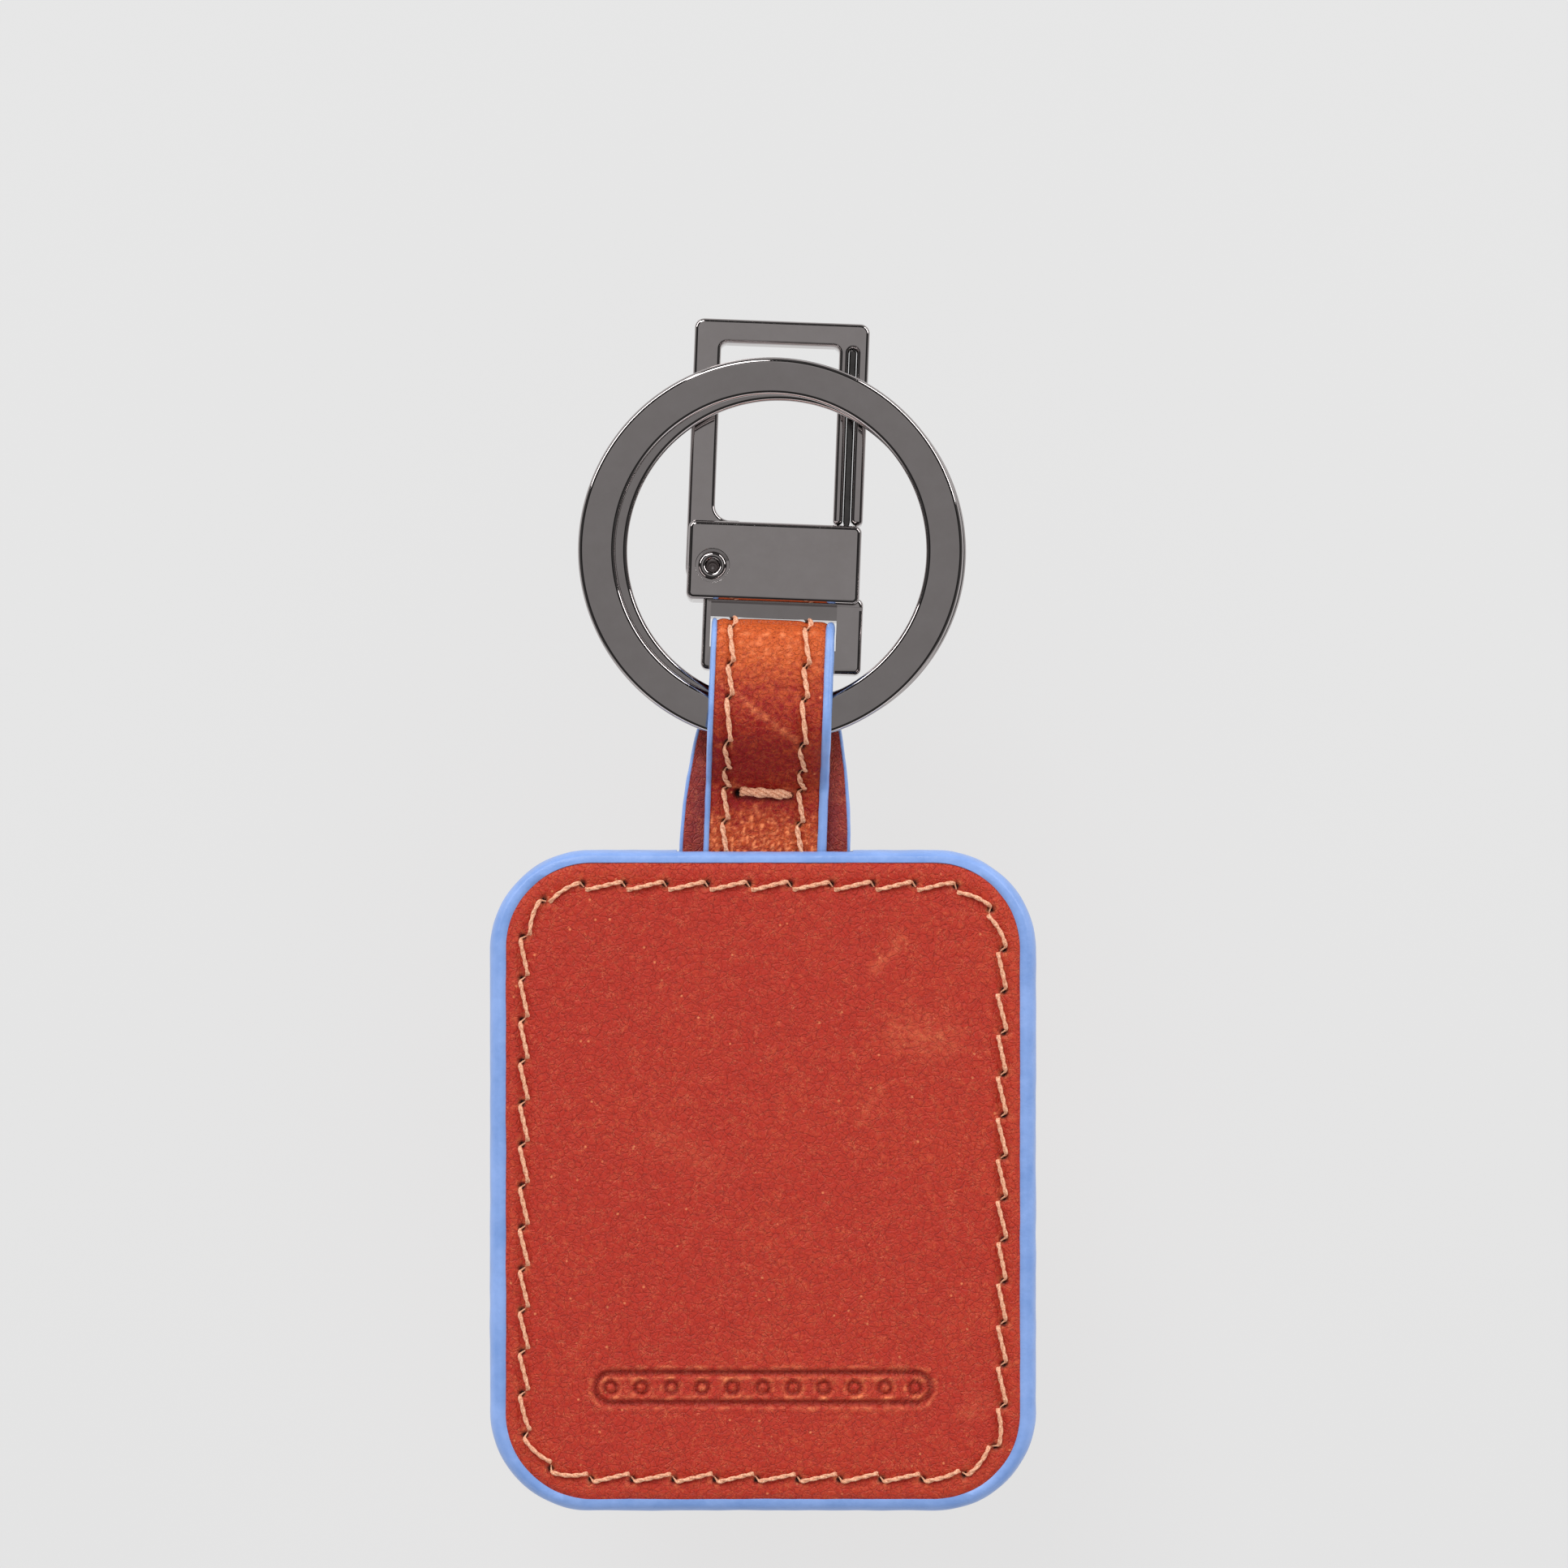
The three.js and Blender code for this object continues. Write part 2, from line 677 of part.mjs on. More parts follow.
// The origin is at the middle of the underside.
const extent = new THREE.Box3().setFromObject(keychain, true);
keychain.position.set(0, -(extent.min.y + extent.max.y) / 2, -extent.min.z);

export default keychain;
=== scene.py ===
import json
import math
import bpy
import bmesh
from mathutils import Matrix, Vector, noise
from mathutils.geometry import interpolate_bezier


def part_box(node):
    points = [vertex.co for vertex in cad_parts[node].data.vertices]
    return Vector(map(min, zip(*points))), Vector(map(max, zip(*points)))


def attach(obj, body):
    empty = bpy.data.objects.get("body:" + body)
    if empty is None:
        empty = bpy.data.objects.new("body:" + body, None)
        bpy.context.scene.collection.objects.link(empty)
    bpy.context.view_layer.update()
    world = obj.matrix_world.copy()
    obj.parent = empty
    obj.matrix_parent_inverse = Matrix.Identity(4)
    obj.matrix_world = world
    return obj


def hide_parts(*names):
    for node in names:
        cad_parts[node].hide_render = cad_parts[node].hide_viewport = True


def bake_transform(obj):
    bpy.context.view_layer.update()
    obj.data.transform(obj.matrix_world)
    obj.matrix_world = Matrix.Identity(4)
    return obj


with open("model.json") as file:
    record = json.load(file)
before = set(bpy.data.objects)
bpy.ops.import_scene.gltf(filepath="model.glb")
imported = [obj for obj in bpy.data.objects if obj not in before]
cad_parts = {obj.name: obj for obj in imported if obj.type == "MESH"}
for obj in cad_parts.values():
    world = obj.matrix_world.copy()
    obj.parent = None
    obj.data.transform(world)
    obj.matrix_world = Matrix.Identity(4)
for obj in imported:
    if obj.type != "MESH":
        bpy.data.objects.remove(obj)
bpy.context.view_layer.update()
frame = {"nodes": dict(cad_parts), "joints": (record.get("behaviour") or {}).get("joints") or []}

# Leather key tag on a folded strap, with a split ring and a hook clip. Pieces are drawn in millimetres, each in
# the place of its own group, and moved into the frame's metres when they are finished.
mm = 0.001
joint = {j["name"]: j for j in frame["joints"]}
print("frame loaded:", len(frame["nodes"]), "nodes")


def axesAt(origin, xAxis, zAxis):
    x = Vector(xAxis).normalized()
    z = Vector(zAxis).normalized()
    turned = Matrix((x, z.cross(x), z)).transposed().to_4x4()
    return Matrix.Translation(Vector(origin)) @ turned @ Matrix.Scale(mm, 4)


def newMaterial(name, color, roughness, metallic=0.0):
    material = bpy.data.materials.new(name)
    material.use_nodes = True
    shader = material.node_tree.nodes["Principled BSDF"]
    shader.inputs["Base Color"].default_value = (*color, 1)
    shader.inputs["Roughness"].default_value = roughness
    shader.inputs["Metallic"].default_value = metallic
    return material, shader


def addNode(material, kind, **settings):
    node = material.node_tree.nodes.new(kind)
    for key, value in settings.items():
        if key in node.inputs:
            node.inputs[key].default_value = value
        else:
            setattr(node, key, value)
    return node


def join(material, source, target):
    material.node_tree.links.new(source, target)


def millimetres(material):
    place = addNode(material, "ShaderNodeTexCoord")
    scale = addNode(material, "ShaderNodeMapping")
    scale.inputs["Scale"].default_value = (1000, 1000, 1000)
    join(material, place.outputs["Object"], scale.inputs["Vector"])
    return scale.outputs["Vector"]


def noiseAt(material, vector, scale, detail=2.0, rough=0.5, distortion=0.0):
    node = addNode(material, "ShaderNodeTexNoise")
    node.inputs["Scale"].default_value = scale
    node.inputs["Detail"].default_value = detail
    node.inputs["Roughness"].default_value = rough
    node.inputs["Distortion"].default_value = distortion
    join(material, vector, node.inputs["Vector"])
    return node.outputs["Fac"]


def spread(material, source, low, high, toLow=0.0, toHigh=1.0):
    node = addNode(material, "ShaderNodeMapRange")
    node.inputs["From Min"].default_value = low
    node.inputs["From Max"].default_value = high
    node.inputs["To Min"].default_value = toLow
    node.inputs["To Max"].default_value = toHigh
    join(material, source, node.inputs["Value"])
    return node.outputs["Result"]


def reckon(material, operation, a, b):
    node = addNode(material, "ShaderNodeMath", operation=operation)
    for socket, value in zip(node.inputs, (a, b)):
        if isinstance(value, (int, float)):
            socket.default_value = value
        else:
            join(material, value, socket)
    return node.outputs["Value"]


def mixColor(material, share, a, b):
    node = addNode(material, "ShaderNodeMix", data_type="RGBA")
    join(material, share, node.inputs["Factor"])
    for socket, value in ((node.inputs[6], a), (node.inputs[7], b)):
        if isinstance(value, tuple):
            socket.default_value = (*value, 1)
        else:
            join(material, value, socket)
    return node.outputs[2]


def bumpFrom(material, shader, height, depth):
    node = addNode(material, "ShaderNodeBump")
    node.inputs["Distance"].default_value = depth * mm
    node.inputs["Strength"].default_value = 1.0
    join(material, height, node.inputs["Height"])
    join(material, node.outputs["Normal"], shader.inputs["Normal"])


def leatherMaterial(name, deep, warm, pale, warmth, speckle, wrinkles, shine):
    material, shader = newMaterial(name, deep, 0.5)
    shader.inputs["Specular IOR Level"].default_value = shine
    place = millimetres(material)
    broad = noiseAt(material, place, 0.07, 3, 0.55, 0.6)
    fine = noiseAt(material, place, 2.1, 6, 0.7, 0.5)
    grain = noiseAt(material, place, 5.5, 3, 0.6)
    marks = {
        mark: addNode(material, "ShaderNodeAttribute", attribute_name=mark).outputs["Fac"]
        for mark in ("warm", "scuffAndHighlight", "hole")
    }
    blotch = spread(material, broad, 0.38, 0.68, -0.16, 0.2)
    toWarm = reckon(material, "MULTIPLY", marks["warm"], warmth)
    toWarm = reckon(material, "ADD", toWarm, blotch)
    toWarm = reckon(material, "ADD", toWarm, spread(material, fine, 0.35, 0.65, -0.32, 0.4))
    color = mixColor(material, spread(material, toWarm, 0, 1), deep, warm)
    dusk = tuple(c * 0.45 for c in deep)
    color = mixColor(material, spread(material, grain, 0.3, 0.52, 0.6, 0), color, dusk)
    hairs = noiseAt(material, place, 1.6, 3, 0.6, 1.6)
    hairs = reckon(material, "ABSOLUTE", reckon(material, "SUBTRACT", hairs, 0.5), 0)
    hairs = spread(material, hairs, 0.004, 0.02, 1, 0)
    bare = spread(material, noiseAt(material, place, 1.0, 2, 0.5), 0.46, 0.6, 0, 1.7 * speckle)
    color = mixColor(material, reckon(material, "MULTIPLY", hairs, bare), color, pale)
    color = mixColor(material, spread(material, fine, 0.6, 0.76, 0, speckle), color, pale)
    cells = addNode(material, "ShaderNodeTexVoronoi")
    cells.inputs["Scale"].default_value = 0.62
    join(material, place, cells.inputs["Vector"])
    speck = spread(material, cells.outputs["Distance"], 0.04, 0.085, 0.8, 0)
    color = mixColor(material, speck, color, pale)
    pores = addNode(material, "ShaderNodeTexVoronoi", feature="DISTANCE_TO_EDGE")
    pores.inputs["Scale"].default_value = 1.7
    bent = addNode(material, "ShaderNodeVectorMath", operation="MULTIPLY_ADD")
    shake = addNode(material, "ShaderNodeTexNoise")
    shake.inputs["Scale"].default_value = 0.8
    join(material, place, shake.inputs["Vector"])
    join(material, shake.outputs["Color"], bent.inputs[0])
    bent.inputs[1].default_value = (1.1, 1.1, 1.1)
    join(material, place, bent.inputs[2])
    join(material, bent.outputs["Vector"], pores.inputs["Vector"])
    net = spread(material, pores.outputs["Distance"], 0, 0.1)
    if wrinkles:
        worn = spread(material, noiseAt(material, place, 0.5, 3, 0.6), 0.42, 0.62, 0.05, wrinkles)
        lines = spread(material, net, 0.15, 0.6, 1, 0)
        color = mixColor(material, reckon(material, "MULTIPLY", lines, worn), color, pale)
    # Paler where the scuff mark is set: real scuffs and rubbed marks, plus painted highlight on rims, cut edges
    # and the strap's fold and root.
    wearAndHighlight = reckon(material, "MULTIPLY", marks["scuffAndHighlight"], spread(material, fine, 0.35, 0.6, 0.2, 1))
    color = mixColor(material, wearAndHighlight, color, tuple(c * 1.25 for c in pale))
    # Near black where the hole mark is set: painted shade in needle holes, stamp grooves, along edges and under
    # the bar tack.
    color = mixColor(material, marks["hole"], color, (0.012, 0.002, 0.001))
    join(material, color, shader.inputs["Base Color"])
    join(material, spread(material, fine, 0.3, 0.7, 0.4, 0.58), shader.inputs["Roughness"])
    height = reckon(material, "MULTIPLY", net, 0.45)
    height = reckon(material, "ADD", height, fine)
    height = reckon(material, "ADD", height, reckon(material, "MULTIPLY", grain, 0.5))
    bumpFrom(material, shader, height, 0.11)
    return material


def paintMaterial():
    material, shader = newMaterial("skyBluePaint", (0.21, 0.34, 0.68), 0.38)
    place = millimetres(material)
    cloud = noiseAt(material, place, 0.35, 4, 0.6)
    color = mixColor(material, spread(material, cloud, 0.35, 0.68), (0.17, 0.295, 0.62), (0.235, 0.37, 0.72))
    dust = noiseAt(material, place, 2.6, 5, 0.75)
    color = mixColor(material, spread(material, dust, 0.64, 0.8, 0, 0.3), color, (0.07, 0.12, 0.36))
    join(material, color, shader.inputs["Base Color"])
    join(material, spread(material, cloud, 0.3, 0.7, 0.3, 0.46), shader.inputs["Roughness"])
    bumpFrom(material, shader, noiseAt(material, place, 1.3, 4, 0.55), 0.06)
    return material


def threadMaterial():
    material, shader = newMaterial("waxedThread", (0.7, 0.33, 0.18), 0.5)
    place = millimetres(material)
    fibre = noiseAt(material, place, 6.5, 4, 0.7)
    color = mixColor(material, spread(material, fibre, 0.36, 0.66), (0.56, 0.19, 0.09), (0.98, 0.57, 0.37))
    join(material, color, shader.inputs["Base Color"])
    bumpFrom(material, shader, fibre, 0.05)
    return material


def gunmetalMaterial():
    material, shader = newMaterial("gunmetal", (0.4, 0.365, 0.362), 0.08, metallic=1.0)
    place = millimetres(material)
    film = noiseAt(material, place, 0.6, 5, 0.65)
    color = mixColor(material, spread(material, film, 0.3, 0.72), (0.385, 0.351, 0.347), (0.415, 0.381, 0.379))
    join(material, color, shader.inputs["Base Color"])
    dust = noiseAt(material, place, 3.1, 6, 0.8)
    join(material, spread(material, dust, 0.55, 0.85, 0.05, 0.2), shader.inputs["Roughness"])
    bumpFrom(material, shader, noiseAt(material, place, 0.12, 1, 0.4), 0.006)
    return material


def plainMaterial(name, color, light, roughness, scale, depth, metallic=0.0):
    material, shader = newMaterial(name, color, roughness, metallic)
    place = millimetres(material)
    grain = noiseAt(material, place, scale, 5, 0.65)
    tone = mixColor(material, spread(material, grain, 0.3, 0.7), color, light)
    join(material, tone, shader.inputs["Base Color"])
    bumpFrom(material, shader, grain, depth)
    return material


paleTan = (0.76, 0.22, 0.085)
tagHide = {
    "deep": (0.46, 0.022, 0.008),
    "warm": (0.54, 0.052, 0.012),
    "warmth": 0.5,  # how far the parts marked warm turn warm
    "speckle": 0.27,
    "wrinkles": 0,
    "shine": 0.35,
}
strapHide = {
    "deep": (0.28, 0.002, 0.003),
    "warm": (0.6, 0.1, 0.018),
    "warmth": 1.0,
    "speckle": 0.05,
    "wrinkles": 0.16,
    "shine": 0.25,
}
liningHide = {
    "deep": (0.27, 0.016, 0.014),
    "warm": (0.5, 0.05, 0.024),
    "warmth": 1.0,
    "speckle": 0.3,
    "wrinkles": 0.15,
    "shine": 0.5,
}
tagLeather = leatherMaterial("tagLeather", pale=paleTan, **tagHide)
strapLeather = leatherMaterial("strapLeather", pale=paleTan, **strapHide)
liningLeather = leatherMaterial("liningLeather", pale=paleTan, **liningHide)
boardFibre = plainMaterial("boardFibre", (0.3, 0.22, 0.14), (0.4, 0.31, 0.2), 0.9, 3.0, 0.08)
edgePaint = paintMaterial()
waxedThread = threadMaterial()
gunmetal = gunmetalMaterial()
# Near-black metal for the latch blade: painted shade for the slot it fills.
slotShadeSteel = plainMaterial("slotShadeSteel", (0.07, 0.066, 0.065), (0.11, 0.104, 0.102), 0.15, 0.8, 0.005, 1.0)
print("materials made")


def finishPiece(name, mesh, place, material, nodes, sharpAngle=40):
    mesh.transform(place)
    mesh.materials.clear()
    mesh.materials.append(material)
    mesh.shade_smooth()
    mesh.set_sharp_from_angle(angle=math.radians(sharpAngle))
    piece = bpy.data.objects.new(name, mesh)
    bpy.context.scene.collection.objects.link(piece)
    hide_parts(*nodes)
    return piece


def meshOf(bm, name):
    mesh = bpy.data.meshes.new(name)
    bm.to_mesh(mesh)
    bm.free()
    return mesh


def strandMesh(name, strands, radius, closed, swell=None):
    curve = bpy.data.curves.new(name, "CURVE")
    curve.dimensions = "3D"
    curve.bevel_depth = radius
    curve.bevel_resolution = 1
    curve.use_fill_caps = True
    for points in strands:
        spline = curve.splines.new("POLY")
        spline.points.add(len(points) - 1)
        for i, (target, point) in enumerate(zip(spline.points, points)):
            target.co = (*point, 1)
            target.radius = swell(i) if swell else 1
        spline.use_cyclic_u = closed
    holder = bpy.data.objects.new(name, curve)
    bpy.context.scene.collection.objects.link(holder)
    bpy.context.view_layer.update()
    mesh = bpy.data.meshes.new_from_object(holder.evaluated_get(bpy.context.evaluated_depsgraph_get()))
    bpy.data.objects.remove(holder)
    bpy.data.curves.remove(curve)
    return mesh


def outlineLength(box):
    x0, x1, y0, y1, radius = box
    return 2 * (x1 - x0 + y1 - y0) - 8 * radius + 2 * math.pi * radius


# Point and outward direction at distance s along a rounded box, clockwise from its top left corner.
def outlineAt(box, s):
    x0, x1, y0, y1, radius = box
    corners = ((x1, y1, 90), (x1, y0, 0), (x0, y0, -90), (x0, y1, -180))
    sides = (x1 - x0 - 2 * radius, y1 - y0 - 2 * radius) * 2
    s %= outlineLength(box)
    for (cx, cy, turn), side in zip(corners, sides):
        inX = math.copysign(radius, cx - (x0 + x1) / 2)
        inY = math.copysign(radius, cy - (y0 + y1) / 2)
        centre = Vector((cx - inX, cy - inY))
        out = Vector((math.cos(math.radians(turn)), math.sin(math.radians(turn))))
        along = Vector((out.y, -out.x))
        if s <= side:
            return centre + out * radius - along * (side - s), out
        s -= side
        arc = radius * math.pi / 2
        if s <= arc:
            angle = math.radians(turn) - s / max(radius, 1e-6)
            out = Vector((math.cos(angle), math.sin(angle)))
            return centre + out * radius, out
        s -= arc
    return outlineAt(box, 0)


# Distance from a rounded box's outline, negative inside it.
def boxDistance(box, x, y):
    x0, x1, y0, y1, radius = box
    dx = abs(x - (x0 + x1) / 2) - (x1 - x0) / 2 + radius
    dy = abs(y - (y0 + y1) / 2) - (y1 - y0) / 2 + radius
    return math.hypot(max(dx, 0), max(dy, 0)) + min(max(dx, dy), 0) - radius


def smooth(low, high, value):
    t = min(max((value - low) / (high - low), 0), 1)
    return t * t * (3 - 2 * t)


def bell(value, width):
    return math.exp(-((value / width) ** 2))


perStitch = 26  # points along one stitch


# Side shift and height of a slanted stitch at share t of its pitch: a long rise, then a jog into the hole.
def stitchPhase(t, slant, lift, dip):
    jog = 0.84
    if t < jog:
        share = t / jog
        return slant * (2 * share - 1), lift * min(1, 3.2 * math.sin(math.pi * min(share, 0.999)) ** 0.8)
    share = (t - jog) / (1 - jog)
    return slant * (1 - 2 * share), -dip * math.sin(math.pi * share)


# Thread is thick along a stitch and pulled thin at its hole.
def stitchSwell():
    return lambda i: 1 - 0.55 * bell((i % perStitch) / perStitch - 0.92, 0.08)


# Two plies wound round a line of (point, side, up).
def twistedStrands(line, turnsPerStep, radius, start=0):
    plies = []
    for ply in range(2):
        points = []
        for i, (point, side, up) in enumerate(line):
            angle = start + math.pi * ply + turnsPerStep * i * 2 * math.pi
            points.append(point + (side * math.cos(angle) + up * math.sin(angle)) * radius)
        plies.append(points)
    return plies


tag = {
    "width": 45.6,
    "height": 55.1,
    "corner": 8.4,
    "thickness": 5.2,
    "rimSide": 1.2,
    "rimTop": 0.9,
    "rimBottom": 0.95,
    "rimSetback": 0.15,  # how far the painted rim stays under both faces
    "leather": 1.15,
    "cell": 0.19,  # mesh size of the front leather
    "backCell": 0.3,
    "edgeWave": 0.11,  # how unevenly the leather was cut
    "seamSide": 1.75,
    "seamTop": 2.1,
    "seamBottom": 2.0,
    "seamCorner": 5.2,
    "pitch": 3.42,
    "slant": 0.34,  # how far a stitch drifts off the seam on each side
    "dimples": 11,
    "dimpleRadius": 0.5,
    "threadRadius": 0.175,
    "stampLength": 27.8,
    "stampHeight": 2.5,
    "stampFromBottom": 9.45,
    "stampDepth": 0.24,
    "surfaceDip": 0.05,  # the leather's dips and rises, each with its width
    "edgeDip": 0.3,
    "edgeDipWidth": 0.45,
    "seamDip": 0.13,
    "seamDipWidth": 0.42,
    "holeDip": 0.34,
    "dome": 0.02,
    "sway": 0.03,
    "stampRise": 0.07,
    "stampRiseWidth": 0.2,
    "backGroove": 0.28,
}

strap = {
    "x": 0.15,
    "width": 10.3,
    "flareWidth": 14.3,
    "thickness": 1.4,
    "lining": 0.6,
    "glueLine": 0.05,
    "beadLeft": 0.52,  # painted edge, seen from the front
    "beadRight": 0.86,
    "beadRear": 0.42,
    "hinge": 0.3,
    "insideTag": 1.7,
    "gap": 0.05,
    "tack": 4.7,
    "tackLeft": -2.0,
    "tackRight": 2.15,
    "pinchLength": 1.35,
    "pinchRadius": 2.4,
    "ringEye": 11.15,
    "ringEyeRadius": 2.604,
    "barEye": 15.7,
    "barEyeRadius": 2.0,
    "lift": 0.15,
    "flareEnd": 13.6,
    "seamLeft": -3.25,
    "seamRight": 3.0,
    "pitch": 2.85,
    "slant": 0.27,
    "threadRadius": 0.195,
    "seamTuck": 0.4,  # how far from the strap's ends the seams start
    "cell": 0.17,
    "liningCell": 0.28,
    "edgeDip": 0.2,
    "edgeDipWidth": 0.4,
    "dome": 0.05,
    "seamDip": 0.15,
    "seamDipWidth": 0.42,
    "holeDip": 0.3,
    "holeDipWidth": 0.26,
    "tackDip": 0.2,
    "tackDipWidth": 0.95,
}

# Where each group of pieces sits in the frame, from the joints.
strapMiddle = tag["thickness"] / 2

flexJoint = joint["strap_flex"]
ringJoint = joint["ring_swing"]
clipJoint = joint["clip_swing"]
hookJoint = joint["hook_open"]
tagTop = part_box("edge_coat")[1].y
tagPlace = Matrix.Translation((0, tagTop, 0)) @ Matrix.Scale(mm, 4)
strapPlace = axesAt(flexJoint["pos_m"], flexJoint["axis"], (0, 0, 1))
strapPlace = strapPlace @ Matrix.Translation((0, -strap["hinge"], -strapMiddle))
clipPlace = axesAt(clipJoint["pos_m"], clipJoint["axis"], hookJoint["axis"])

leatherBox = (
    -tag["width"] / 2 + tag["rimSide"],
    tag["width"] / 2 - tag["rimSide"],
    -tag["height"] + tag["rimBottom"],
    -tag["rimTop"],
    tag["corner"] - (tag["rimSide"] + tag["rimTop"]) / 2,
)
seamBox = (
    leatherBox[0] + tag["seamSide"],
    leatherBox[1] - tag["seamSide"],
    leatherBox[2] + tag["seamBottom"],
    leatherBox[3] - tag["seamTop"],
    tag["seamCorner"],
)
stampY = leatherBox[2] + tag["stampFromBottom"]
stampBox = (
    -tag["stampLength"] / 2,
    tag["stampLength"] / 2,
    stampY - tag["stampHeight"] / 2,
    stampY + tag["stampHeight"] / 2,
    tag["stampHeight"] / 2 - 0.01,
)
stampEnd = tag["dimples"] // 2
dimplePitch = (tag["stampLength"] - tag["stampHeight"]) / (tag["dimples"] - 1)
stitchCount = round(outlineLength(seamBox) / tag["pitch"])
stitchPitch = outlineLength(seamBox) / stitchCount
holeShare = 0.9  # where in a stitch's pitch its needle hole is
holeOffset = 0.16
holes = []
for number in range(stitchCount):
    middle, outward = outlineAt(seamBox, (number + holeShare) * stitchPitch)
    holes.append(middle + outward * holeOffset)
holeCells = {}
for hole in holes:
    holeCells.setdefault((round(hole.x), round(hole.y)), []).append(hole)


def holeDepth(x, y, width=0.27):
    deepest = 0
    for i in (-1, 0, 1):
        for j in (-1, 0, 1):
            for hole in holeCells.get((round(x) + i, round(y) + j), ()):
                deepest = max(deepest, bell(math.hypot(x - hole.x, y - hole.y), width))
    return deepest


# An even grid whose outermost ring is the rounded box.
def roundedGrid(box, cell):
    x0, x1, y0, y1, radius = box
    a, b = (x1 - x0) / 2, (y1 - y0) / 2
    bm = bmesh.new()
    bmesh.ops.create_grid(bm, x_segments=round(2 * a / cell), y_segments=round(2 * b / cell), size=1)
    for v in bm.verts:
        level = max(abs(v.co.x), abs(v.co.y))
        x, y = abs(v.co.x) * a, abs(v.co.y) * b
        r = level * radius
        dx, dy = x - level * (a - radius), y - level * (b - radius)
        if r > 1e-6 and dx > 0 and dy > 0:
            angle = math.pi / 4 * (dy / r if dx >= dy * 0.999999 else 2 - dx / r)
            x = level * (a - radius) + r * math.cos(angle)
            y = level * (b - radius) + r * math.sin(angle)
        v.co.x = math.copysign(x, v.co.x) + (x0 + x1) / 2
        v.co.y = math.copysign(y, v.co.y) + (y0 + y1) / 2
    return bm


scratches = (  # faint rubbed marks: from, to, width, strength
    ((9.2, -9.9), (11.4, -7.6), 0.5, 0.35),
    ((11.8, -15.2), (15.0, -15.8), 1.5, 0.28),
    ((-8.5, -24.0), (-4.0, -26.5), 1.2, 0.12),
    ((8.0, -22.5), (9.8, -19.8), 0.4, 0.2),
    ((16.8, -47.0), (18.4, -45.5), 0.6, 0.25),
)


def strokeStrength(strokes, x, y):
    total = 0
    for start, end, width, strength in strokes:
        a, b = Vector(start), Vector(end)
        along = b - a
        t = min(max((Vector((x, y)) - a).dot(along) / along.length_squared, 0), 1)
        distance = (a + along * t - Vector((x, y))).length
        total += strength * bell(distance, width) * (0.6 + 0.8 * noise.noise(Vector((x * 2, y * 2, 3))))
    return min(max(total, 0), 1)


